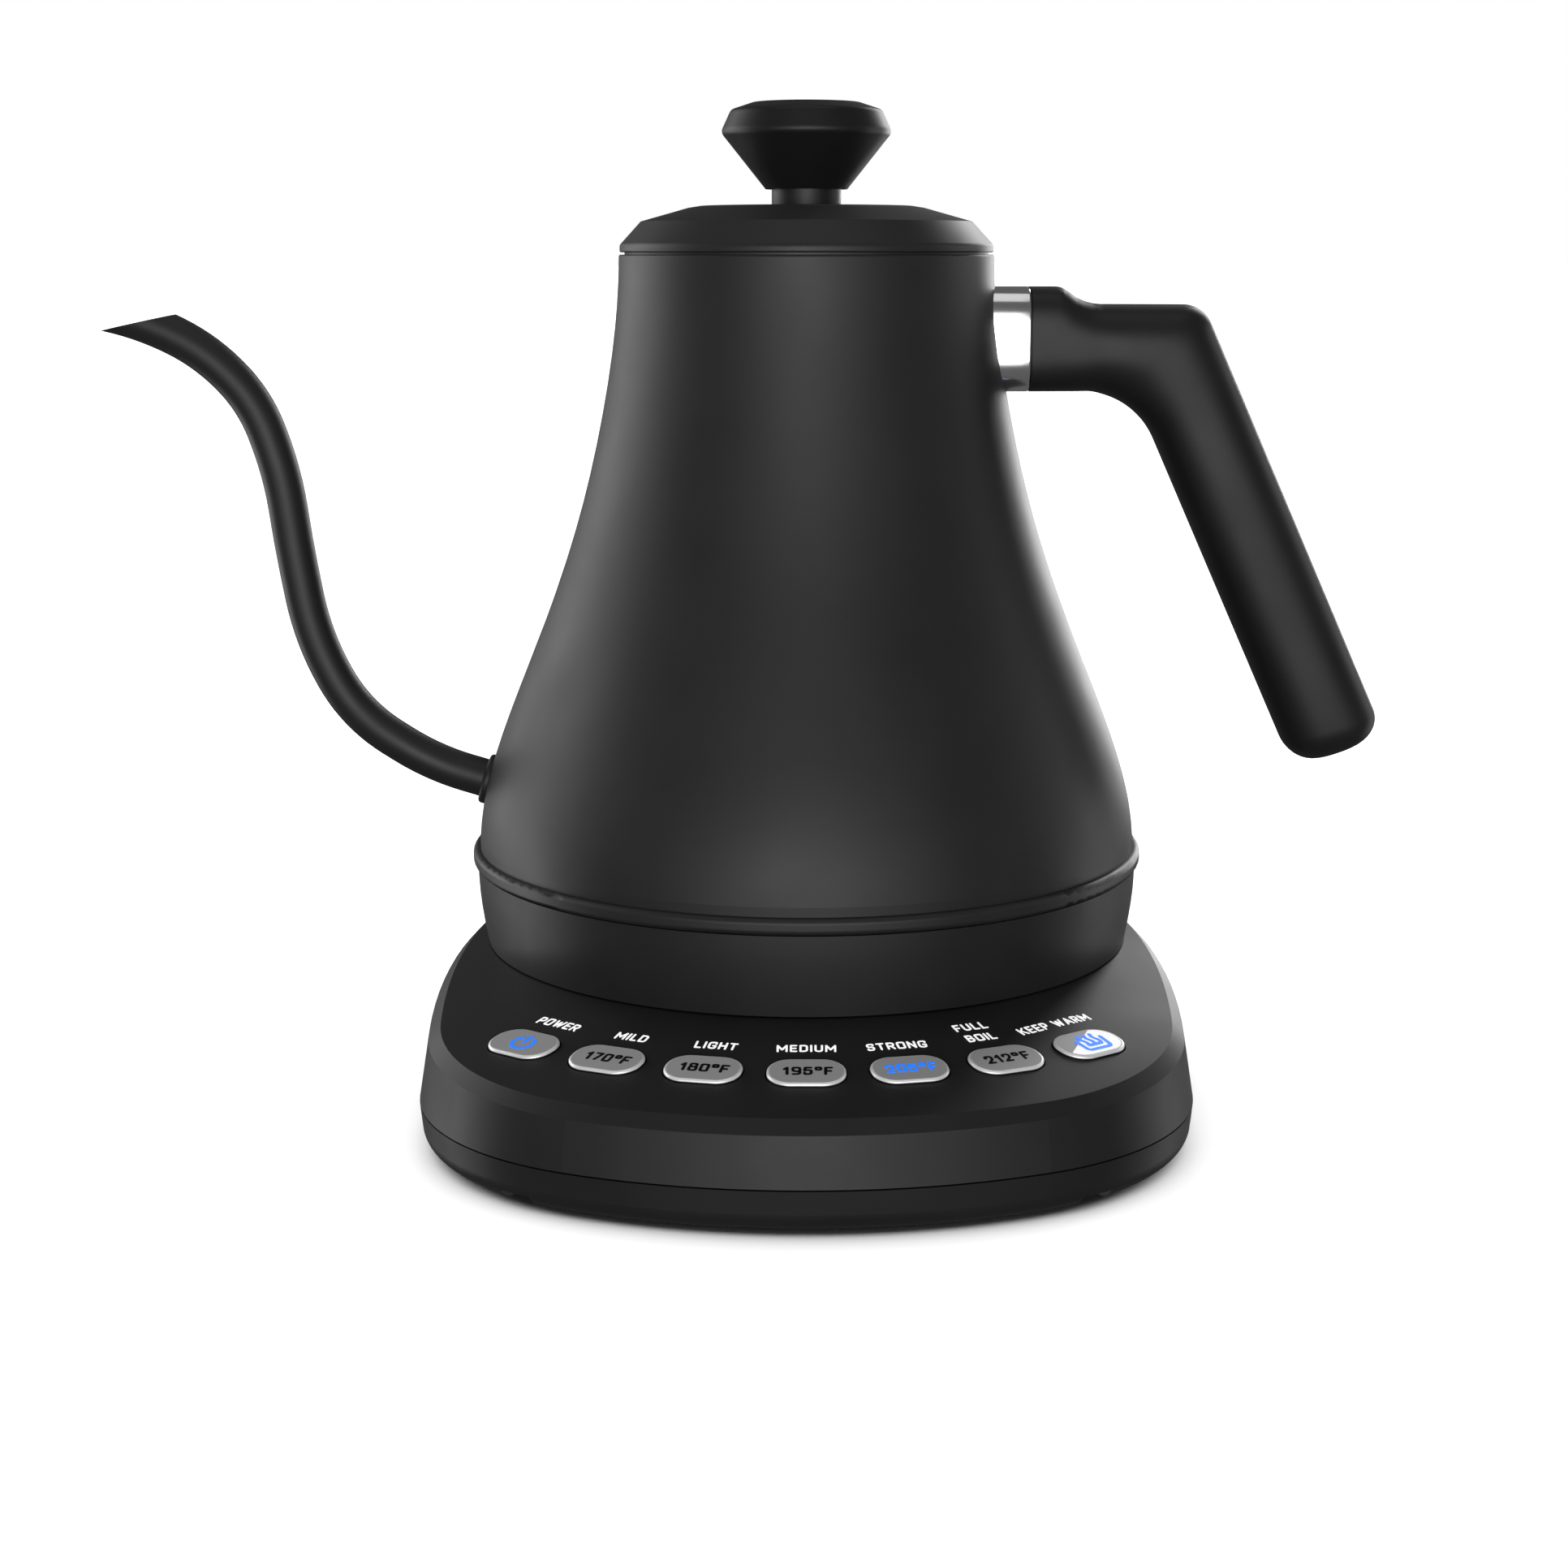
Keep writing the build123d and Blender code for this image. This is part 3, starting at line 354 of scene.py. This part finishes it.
def make_grip():
    """The grip, swept between its two outlines, with a rounded end and the screw's recess."""
    pairs = grip_pairs()
    out, into, power = pairs[0]
    edge = (into - out).normalized() * 0.35
    rings = [handle_ring(out + edge, into - edge, power, HALF_WIDTH - 0.35)]
    pairs[0] = (out + Vector((0.3, 0)), into + Vector((0.3, 0)), power)
    rings += [handle_ring(*pair) for pair in pairs]
    down = (Vector(END_OUT) - Vector(ELBOW_OUT)).normalized()
    for step in range(1, 13):
        turn = math.radians(90 * step / 12)
        ahead, inset = END_ROUND * math.sin(turn), 1 - math.cos(turn)
        out = pairs[-1][0] + down * ahead
        into = pairs[-1][1] + down * ahead
        across = (into - out).normalized() * inset
        out, into = out + across * END_OUT_INSET, into - across * END_IN_INSET
        rings.append(handle_ring(out, into, GRIP_POWER, HALF_WIDTH - END_ROUND * inset))
    mesh = lofted("grip", rings)
    grip = new_piece("grip", mesh, [MATERIALS["grip_plastic"]], "kettle")
    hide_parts("handle_grip")
    screw_low, screw_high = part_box("handle_screw")
    centre, radius = (screw_low + screw_high) / 2, (screw_high.x - screw_low.x) / 2 + 0.2 * MM
    rings = []
    for height in (screw_low.z - 4 * MM, screw_low.z + 2 * MM):
        rings.append([Vector((centre.x + x, y, height)) for x, y in superellipse(radius, radius, 2, 48)])
    cutter = bpy.data.objects.new("cutter", lofted("cutter", rings))
    bpy.context.scene.collection.objects.link(cutter)
    recess = grip.modifiers.new("recess", "BOOLEAN")
    recess.object = cutter
    recess.solver = "EXACT"
    cut = bpy.data.meshes.new_from_object(grip.evaluated_get(bpy.context.evaluated_depsgraph_get()))
    grip.modifiers.clear()
    grip.data = cut
    cut.set_sharp_from_angle(angle=math.radians(38))
    bpy.data.objects.remove(cutter)


def make_ferrule():
    """The polished sleeve between the body and the grip, shaped to the body where it meets it."""
    body = surface_of("kettle_shell")
    out, into = Vector((0, NECK_HIGH)), Vector((0, NECK_LOW))
    section = handle_ring(out, into, NECK_POWER)
    root = []
    for point in section:
        start = Vector((GRIP_START * MM, point.y, point.z))
        root.append(Vector((body.ray_cast(start, Vector((-1, 0, 0)))[0].x - 0.2 * MM, point.y, point.z)))
    rings = [root]
    for back, inset in ((0.5, 0.0), (0.25, 0.07), (0.07, 0.25), (0.0, 0.5)):
        edge = Vector((0, inset))
        ring = handle_ring(out - edge, into + edge, NECK_POWER, HALF_WIDTH - inset)
        rings.append([point + Vector((GRIP_START - back, 0, 0)) * MM for point in ring])
    mesh = lofted("ferrule", rings)
    ferrule = new_piece("ferrule", mesh, [MATERIALS["polished_steel"]], "kettle")
    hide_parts("handle_ferrule")
    return ferrule


# ---------------------------------------------------------------- buttons

BUTTONS = [
    "button_power",
    "button_170",
    "button_180",
    "button_195",
    "button_205",
    "button_212",
    "button_keep_warm",
]
CAP_WIDTH, CAP_DEPTH, CAP_CORNER = 16.1, 10.6, 4.9
CAP_PROUD = 0.8
EDGE_ROUND, EDGE_STEPS = 0.55, 6
FACE_MARGIN, FACE_CORNER = 0.2, 4.0  # the flat face's own ring, in from the rounded edge
FLANGE_LIP = 0.8  # how far the flange reaches past the cap, under the panel
FLANGE_TOP, FLANGE_BOTTOM, PLUNGER_BOTTOM = -2.8, -3.7, -5.3  # below the panel's face
PLUNGER_SIZE = 3.2


def button_place(name):
    """A matrix from a button's own plane, with z = 0 on its face, to the model's frame."""
    joints = frame["record"]["behaviour"]["joints"]
    press = next(joint["axis"] for joint in joints if joint["name"] == name + "_press")
    out = -Vector(press).normalized()
    angle = math.atan2(out.x, -out.y)
    right = Vector((math.cos(angle), math.sin(angle), 0))
    up = out.cross(right)
    points = [vertex.co for vertex in frame["nodes"][name].data.vertices]
    across = [point.dot(right) for point in points]
    along = [point.dot(up) for point in points]
    face = max(point.dot(out) for point in points)
    origin = right * (min(across) + max(across)) / 2 + up * (min(along) + max(along)) / 2 + out * face
    turn = Matrix((right, up, out)).transposed().to_4x4()
    return Matrix.Translation(origin) @ turn, angle


def rounded_outline(width, depth, corner, steps=12):
    """Points round a rectangle with rounded corners, in millimetres."""
    points = []
    for quarter, (x, y) in enumerate(((1, 1), (-1, 1), (-1, -1), (1, -1))):
        for step in range(steps + 1):
            turn = math.radians(90 * (quarter + step / steps))
            across = x * (width / 2 - corner) + corner * math.cos(turn)
            points.append((across, y * (depth / 2 - corner) + corner * math.sin(turn)))
    return points


def make_button(name, place):
    """A button cap with its black flange and plunger; its rounded edge is bright metal, and its side under
    the edge is black plastic, painted shade for the gap round the cap.
    """
    plunger = (PLUNGER_SIZE, PLUNGER_SIZE, PLUNGER_SIZE / 2)
    flange = (CAP_WIDTH + 2 * FLANGE_LIP, CAP_DEPTH + 2 * FLANGE_LIP, CAP_CORNER + FLANGE_LIP)
    levels = [
        (*plunger, PLUNGER_BOTTOM - CAP_PROUD),
        (*plunger, FLANGE_BOTTOM - CAP_PROUD),
        (*flange, FLANGE_BOTTOM - CAP_PROUD),
        (*flange, FLANGE_TOP - CAP_PROUD),
        (CAP_WIDTH, CAP_DEPTH, CAP_CORNER, FLANGE_TOP - CAP_PROUD),
    ]
    # the flange, the plunger and the cap's side take the black third material; on the cap's side it is
    # painted shade for the gap round the cap
    kinds = [2] * len(levels) + [1] * EDGE_STEPS
    for step in range(EDGE_STEPS + 1):
        turn = math.radians(90 * step / EDGE_STEPS)
        inset, drop = EDGE_ROUND * (1 - math.cos(turn)), EDGE_ROUND * (1 - math.sin(turn))
        levels.append((CAP_WIDTH - 2 * inset, CAP_DEPTH - 2 * inset, CAP_CORNER - inset, -drop))
    inset = EDGE_ROUND + FACE_MARGIN
    levels.append((CAP_WIDTH - 2 * inset, CAP_DEPTH - 2 * inset, FACE_CORNER, 0))
    rings = []
    for width, depth, corner, height in levels:
        outline = rounded_outline(width, depth, corner)
        rings.append([place @ Vector((x * MM, y * MM, height * MM)) for x, y in outline])
    materials = [MATERIALS["button_satin"], bright_edge, MATERIALS["knob_plastic"]]
    cap = new_piece(name + "_cap", lofted(name + "_cap", rings, kinds), materials, name)
    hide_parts(name)


# ---------------------------------------------------------------- legends

STROKE = 0.16  # stroke width over cap height
NUMBER_STROKE = 0.195  # the same, for the bolder numbers
LINE_PITCH = 1.7  # between two lines of a label, over cap height
LETTER_GAP = 0.15
BOWL = [(0, 1), (0, 0), (1, 0), (1, 1)]
LEFT_HALF = [(0.5, 1), (0, 1), (0, 0), (0.5, 0)]
RIGHT_HALF = [(0.5, 1), (1, 1), (1, 0), (0.5, 0)]

# width over cap height, and strokes in the glyph's own box: how much each one's corners are rounded
# (0 where it has corners), and its points
GLYPHS = {
    "A": (0.7, [(0, [(0, 0), (0.5, 1), (1, 0)]), (0, [(0.17, 0.3), (0.83, 0.3)])]),
    "B": (
        0.6,
        [
            (0, [(0, 0), (0, 1)]),
            (0.3, [(0, 1), (0.94, 1), (0.94, 0.53), (0, 0.53)]),
            (0.3, [(0, 0.53), (1, 0.53), (1, 0), (0, 0)]),
        ],
    ),
    "D": (0.62, [(0, [(0, 0), (0, 1)]), (0.5, [(0, 1), (1, 1), (1, 0), (0, 0)])]),
    "E": (0.54, [(0, [(1, 1), (0, 1), (0, 0), (1, 0)]), (0, [(0, 0.51), (0.88, 0.51)])]),
    "F": (0.54, [(0, [(1, 1), (0, 1), (0, 0)]), (0, [(0, 0.49), (0.86, 0.49)])]),
    "G": (
        0.64,
        [
            (0.4, [(1, 0.78), (1, 1), (0, 1), (0, 0), (1, 0), (1, 0.44)]),
            (0, [(1, 0.44), (0.62, 0.44)]),
        ],
    ),
    "H": (0.62, [(0, [(0, 0), (0, 1)]), (0, [(1, 0), (1, 1)]), (0, [(0, 0.51), (1, 0.51)])]),
    "I": (STROKE, [(0, [(0.5, 0), (0.5, 1)])]),
    "K": (0.64, [(0, [(0, 0), (0, 1)]), (0, [(1, 1), (0.06, 0.45)]), (0, [(0.35, 0.6), (1, 0)])]),
    "L": (0.52, [(0, [(0, 1), (0, 0), (1, 0)])]),
    "M": (0.8, [(0, [(0, 0), (0, 1), (0.5, 0.3), (1, 1), (1, 0)])]),
    "N": (0.64, [(0, [(0, 0), (0, 1), (1, 0), (1, 1)])]),
    "O": (0.64, [(0.42, LEFT_HALF), (0.42, RIGHT_HALF)]),
    "P": (0.58, [(0, [(0, 0), (0, 1)]), (0.32, [(0, 1), (1, 1), (1, 0.42), (0, 0.42)])]),
    "R": (
        0.6,
        [
            (0, [(0, 0), (0, 1)]),
            (0.32, [(0, 1), (1, 1), (1, 0.45), (0, 0.45)]),
            (0, [(0.55, 0.45), (1, 0)]),
        ],
    ),
    "S": (0.58, [(0.32, [(1, 0.8), (1, 1), (0, 1), (0, 0.52), (1, 0.52), (1, 0), (0, 0), (0, 0.2)])]),
    "T": (0.6, [(0, [(0, 1), (1, 1)]), (0, [(0.5, 1), (0.5, 0)])]),
    "U": (0.62, [(0.42, BOWL)]),
    "W": (0.9, [(0, [(0, 1), (0.26, 0), (0.5, 0.85), (0.74, 0), (1, 1)])]),
    "0": (0.6, [(0.42, LEFT_HALF), (0.42, RIGHT_HALF)]),
    "1": (0.4, [(0, [(0, 0.76), (0.75, 1), (0.75, 0)])]),
    "2": (0.58, [(0.35, [(0, 0.74), (0, 1), (1, 1), (1, 0.56), (0, 0)]), (0, [(0, 0), (1, 0)])]),
    "5": (
        0.58,
        [
            (0, [(0.95, 1), (0.1, 1), (0, 0.52)]),
            (0.35, [(0, 0.52), (0.2, 0.63), (1, 0.63), (1, 0), (0, 0), (0, 0.2)]),
        ],
    ),
    "7": (0.56, [(0, [(0, 1), (1, 1), (0.35, 0)])]),
    "8": (
        0.6,
        [
            (0.25, [(0.5, 1), (0.06, 1), (0.06, 0.53), (0.5, 0.53)]),
            (0.25, [(0.5, 1), (0.94, 1), (0.94, 0.53), (0.5, 0.53)]),
            (0.3, [(0.5, 0.53), (0, 0.53), (0, 0), (0.5, 0)]),
            (0.3, [(0.5, 0.53), (1, 0.53), (1, 0), (0.5, 0)]),
        ],
    ),
    "9": (
        0.6,
        [
            (0.3, [(0.5, 1), (0, 1), (0, 0.42), (1, 0.42)]),
            (0.4, [(0.5, 1), (1, 1), (1, 0), (0.05, 0)]),
        ],
    ),
    "°": (
        0.46,
        [
            (0.15, [(0.5, 1.03), (0, 1.03), (0, 0.67), (0.5, 0.67)]),
            (0.15, [(0.5, 1.03), (1, 1.03), (1, 0.67), (0.5, 0.67)]),
        ],
    ),
    " ": (0.28, []),
}


def bent(points, radius):
    """The same run of points with its corners rounded."""
    points = [Vector(point) for point in points]
    result = [points[0]]
    for before, here, after in zip(points, points[1:], points[2:]):
        reach = min(radius, (here - before).length / 2, (after - here).length / 2)
        start = here + (before - here).normalized() * reach
        end = here + (after - here).normalized() * reach
        for step in range(7):
            share = step / 6
            result.append(start.lerp(here, share).lerp(here.lerp(end, share), share))
    result.append(points[-1])
    kept = result[:1]
    for point in result[1:]:
        if (point - kept[-1]).length > 1e-6:
            kept.append(point)
    return kept


def written(words, cap):
    """The strokes of one or more lines of words, centred on the origin, in millimetres."""
    strokes = []
    lines = words.split("\n")
    for row, line in enumerate(lines):
        width = sum(GLYPHS[letter][0] for letter in line) + LETTER_GAP * (len(line) - 1)
        left = -width / 2
        bottom = ((len(lines) - 1) / 2 - row) * LINE_PITCH - 0.5
        for letter in line:
            wide, parts = GLYPHS[letter]
            inner = wide - STROKE
            for radius, points in parts:
                spots = [
                    Vector((left + STROKE / 2 + x * inner, bottom + STROKE / 2 + y * (1 - STROKE))) * cap
                    for x, y in points
                ]
                if radius:
                    strokes.append(bent(spots, radius * cap))
                else:
                    strokes += [list(pair) for pair in zip(spots, spots[1:])]
            left += wide + LETTER_GAP
    return strokes


def stroke_outline(points, width):
    """The outline of a round-ended stroke, counter-clockwise."""
    right, left = [], []
    for i, point in enumerate(points):
        along = (points[min(i + 1, len(points) - 1)] - points[max(i - 1, 0)]).normalized()
        side = Vector((along.y, -along.x)) * width / 2
        right.append(point + side)
        left.append(point - side)
    outline = []
    for side, end in ((right, points[-1]), (left[::-1], points[0])):
        outline += side
        first = math.atan2(side[-1].y - end.y, side[-1].x - end.x)
        for step in range(1, 8):
            turn = first + math.pi * step / 8
            outline.append(end + Vector((math.cos(turn), math.sin(turn))) * width / 2)
    return outline


def plate(name, outlines, thickness, sink=0.02):
    """A thin flat mesh, the union of outlines in millimetres, from just below z = 0 to its thickness."""
    corners = [point for outline in outlines for point in outline]
    loops, start = [], 0
    for outline in outlines:
        loops.append(list(range(start, start + len(outline))))
        start += len(outline)
    points, _, faces, _, _, inside = delaunay_2d_cdt(corners, [], loops, 0, 1e-5)
    faces = [face for face, sources in zip(faces, inside) if sources]
    edges = {(a, b) for face in faces for a, b in zip(face, face[1:] + face[:1])}
    rim = [(a, b) for a, b in edges if (b, a) not in edges]
    count = len(points)
    solid = [tuple(i + count for i in face) for face in faces] + [tuple(face[::-1]) for face in faces]
    solid += [(a, b, b + count, a + count) for a, b in sorted(rim)]
    low = [Vector((p.x, p.y, -sink)) * MM for p in points]
    high = [Vector((p.x, p.y, thickness)) * MM for p in points]
    mesh = bpy.data.meshes.new(name)
    mesh.from_pydata(low + high, [], solid)
    shape = bmesh.new()
    shape.from_mesh(mesh)
    bmesh.ops.delete(shape, geom=[v for v in shape.verts if not v.link_faces], context="VERTS")
    bmesh.ops.recalc_face_normals(shape, faces=shape.faces)
    shape.to_mesh(mesh)
    shape.free()
    return mesh


def drape(mesh, surface):
    """Lays a flat mesh, placed in plan, onto a surface, keeping each point's height as its height over it."""
    for vertex in mesh.vertices:
        hit = surface.ray_cast(Vector((vertex.co.x, vertex.co.y, 1.0)), Vector((0, 0, -1)))[0]
        vertex.co.z += hit.z


def power_icon():
    """An open ring with a bar in its gap."""
    radius, gap = 2.45, 36
    angles = [math.radians(90 + gap + step * (360 - 2 * gap) / 32) for step in range(33)]
    ring = [Vector((radius * math.cos(a), radius * math.sin(a) - 0.2)) for a in angles]
    bar = [Vector((0, 0.1)), Vector((0, 2.75))]
    return [stroke_outline(ring, 0.8), stroke_outline(bar, 0.8)]


def warm_icon():
    """An open bowl of something hot, with three wisps of steam."""
    bowl = bent([(-2.6, 1.2), (-2.5, -3.0), (3.7, -3.0), (4.1, 1.2)], 1.0)
    outlines = [stroke_outline(bowl, 1.0)]
    outlines.append(stroke_outline([Vector((-0.85, -1.2)), Vector((2.2, -1.2))], 1.1))
    for x in (-0.95, 0.75, 2.45):
        wisp = [Vector((x + 0.25 * math.sin(t * 0.55), -1.0 + t * 0.32)) for t in range(13)]
        outlines.append(stroke_outline(wisp, 0.95))
    return outlines


LABELS = ["POWER", "MILD", "LIGHT", "MEDIUM", "STRONG", "FULL\nBOIL", "KEEP WARM"]
LABEL_CAP, NUMBER_CAP = 2.85, 3.15
LABEL_GAP = 11.0  # from a button's middle in to its label's nearest line
LEGEND_HEIGHT = 0.06
NUMBER_SHIFT = 0.3  # to the right of the button's middle
LIT_MARGIN = 0.8  # from the cap's outline in to the lit part of its face
LIT_SLANT, LIT_FOOT = 1.5, -3.2  # the lit part lies right of x = LIT_FOOT + LIT_SLANT * y


def make_legends():
    """The words on the panel and the numbers and icons on the buttons."""
    panel = surface_of("base_top_housing")
    for name, words in zip(BUTTONS, LABELS):
        place, angle = button_place(name)
        make_button(name, place)
        outlines = [stroke_outline(stroke, STROKE * LABEL_CAP) for stroke in written(words, LABEL_CAP)]
        label = plate("label_" + name, outlines, LEGEND_HEIGHT)
        away = LABEL_GAP + words.count("\n") * LINE_PITCH / 2 * LABEL_CAP
        centre = place.translation.xy + Vector((-math.sin(angle), math.cos(angle))) * away * MM
        label.transform(Matrix.Translation((*centre, 0)) @ Matrix.Rotation(angle, 4, "Z"))
        drape(label, panel)
        new_piece("label_" + name, label, [white_ink_painted_glow], "base")
        if name == "button_power":
            outlines, material = power_icon(), blue_light
        elif name == "button_keep_warm":
            outlines, material = warm_icon(), blue_light
            lit_face(name, place)
        else:
            nudge, width = Vector((NUMBER_SHIFT, 0)), NUMBER_STROKE * NUMBER_CAP
            number = written(name.split("_")[1] + "°F", NUMBER_CAP)
            outlines = [stroke_outline([point + nudge for point in stroke], width) for stroke in number]
            material = blue_light if name == "button_205" else black_ink
        legend = plate("legend_" + name, outlines, LEGEND_HEIGHT)
        legend.transform(place)
        new_piece("legend_" + name, legend, [material], name)


def lit_face(name, place):
    """The lit part of a button's face, on the right of a slanting line."""
    margin = 2 * LIT_MARGIN
    outline = rounded_outline(CAP_WIDTH - margin, CAP_DEPTH - margin, CAP_CORNER - LIT_MARGIN)
    sides = [x - LIT_FOOT - LIT_SLANT * y for x, y in outline]
    lit = []
    for i, (x, y) in enumerate(outline):
        side, after = sides[i], sides[(i + 1) % len(outline)]
        if side >= 0:
            lit.append(Vector((x, y)))
        if side * after < 0:
            lit.append(Vector((x, y)).lerp(Vector(outline[(i + 1) % len(outline)]), side / (side - after)))
    face = plate("lit_" + name, [lit], LEGEND_HEIGHT / 3)
    face.transform(place)
    new_piece("lit_" + name, face, [white_light], name)


# ---------------------------------------------------------------- floor, lights and camera

SKY_ANGLE, SKY_TILT, SKY_POWER = 140, -28, 6.2  # the floor's own broad light, tilted to come from behind
FLOOR_DROP = 0.0001
WORLD_FILL = 0.12


def only_on(lamp, objects):
    """Lets a lamp light nothing but these objects."""
    group = bpy.data.collections.new(lamp.name + "_only")
    for thing in objects:
        group.objects.link(thing)
    lamp.light_linking.receiver_collection = group


def make_floor():
    """A plain white floor, evenly lit, that takes the soft shadow and gives no light back."""
    shape = bmesh.new()
    bmesh.ops.create_grid(shape, x_segments=1, y_segments=1, size=40.0)
    mesh = bpy.data.meshes.new("floor")
    shape.to_mesh(mesh)
    shape.free()
    floor = bpy.data.objects.new("floor", mesh)
    bpy.context.scene.collection.objects.link(floor)
    floor.location.z = cad_low.z - FLOOR_DROP
    mesh.materials.append(new_material("floor", grey(0.85), 0.9, specular=0.0)[0])
    floor.visible_diffuse = False
    floor.visible_glossy = False
    sky = bpy.data.lights.new("floor_light", "SUN")
    sky.angle = math.radians(SKY_ANGLE)
    sky.energy = SKY_POWER
    lamp = bpy.data.objects.new("floor_light", sky)
    bpy.context.scene.collection.objects.link(lamp)
    lamp.rotation_euler = (math.radians(SKY_TILT), 0, 0)
    only_on(lamp, [floor])


def area_light(name, place, aim, width, height, power):
    """A soft box that faces a point."""
    light = bpy.data.lights.new(name, "AREA")
    light.shape = "RECTANGLE"
    light.size, light.size_y = width, height
    light.energy = power
    lamp = bpy.data.objects.new(name, light)
    bpy.context.scene.collection.objects.link(lamp)
    lamp.location = place
    lamp.rotation_euler = (Vector(aim) - Vector(place)).to_track_quat("-Z", "Y").to_euler()
    lamp.visible_camera = False
    receivers = bpy.data.collections.new(name + "_receivers")
    receivers.objects.link(bpy.data.objects["floor"])
    receivers.collection_objects[0].light_linking.link_state = "EXCLUDE"
    lamp.light_linking.receiver_collection = receivers
    return lamp


def make_world():
    """White to the camera, and a dim even fill to everything else."""
    world = bpy.data.worlds.new("studio")
    bpy.context.scene.world = world
    world.use_nodes = True
    nodes, links = world.node_tree.nodes, world.node_tree.links
    fill = nodes["Background"]
    fill.inputs["Color"].default_value = (1, 1, 1, 1)
    fill.inputs["Strength"].default_value = WORLD_FILL
    white = nodes.new("ShaderNodeBackground")
    white.inputs["Color"].default_value = (1, 1, 1, 1)
    path = nodes.new("ShaderNodeLightPath")
    mix = nodes.new("ShaderNodeMixShader")
    links.new(path.outputs["Is Camera Ray"], mix.inputs["Fac"])
    links.new(fill.outputs["Background"], mix.inputs[1])
    links.new(white.outputs["Background"], mix.inputs[2])
    links.new(mix.outputs["Shader"], nodes["World Output"].inputs["Surface"])


CAMERA_DISTANCE = 0.601
CAMERA_PITCH = 11.5  # degrees below the horizontal
CAMERA_LENS = 59.89


def make_camera():
    """A viewpoint level with the lid's rim, looking along +Y and down."""
    camera = bpy.data.objects.new("camera", bpy.data.cameras.new("camera"))
    bpy.context.scene.collection.objects.link(camera)
    rim_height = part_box("kettle_shell")[1].z + 0.3 * MM
    camera.location = (0, -CAMERA_DISTANCE, rim_height)
    camera.rotation_euler = (math.radians(90 - CAMERA_PITCH), 0, 0)
    camera.data.lens = CAMERA_LENS
    camera.data.sensor_width = 36.0
    camera.data.shift_x = -0.0143
    bpy.context.scene.camera = camera


make_grip()
ferrule = make_ferrule()
make_legends()
make_floor()
make_world()
make_camera()
SOFT_BOXES = [  # name, place, width, height and power
    ("top", (0, -0.2, 1.6), 1.2, 1.2, 3),
    ("left", (-1.15, 0.35, 0.12), 0.6, 1.35, 9),
    ("front", (0.0, -1.7, 0.2), 0.7, 0.7, 11),
    ("front_fill", (0.0, -1.9, 0.1), 2.8, 0.8, 23),
    ("right", (1.15, 0.5, 0.05), 0.6, 1.3, 4.5),
    ("right_rim", (0.55, 1.0, 0.38), 0.25, 0.9, 7.5),
    ("left_rim", (-0.9, 0.8, 0.38), 0.3, 0.9, 3),
]
for name, place, width, height, power in SOFT_BOXES:
    area_light(name, place, (0, 0, 0.1), width, height, power)
card = area_light("ferrule_card", (0.12, -0.95, 0.19), (0.047, 0, 0.169), 0.5, 0.72, 2)
only_on(card, [ferrule])
bpy.context.scene.view_settings.view_transform = "Standard"
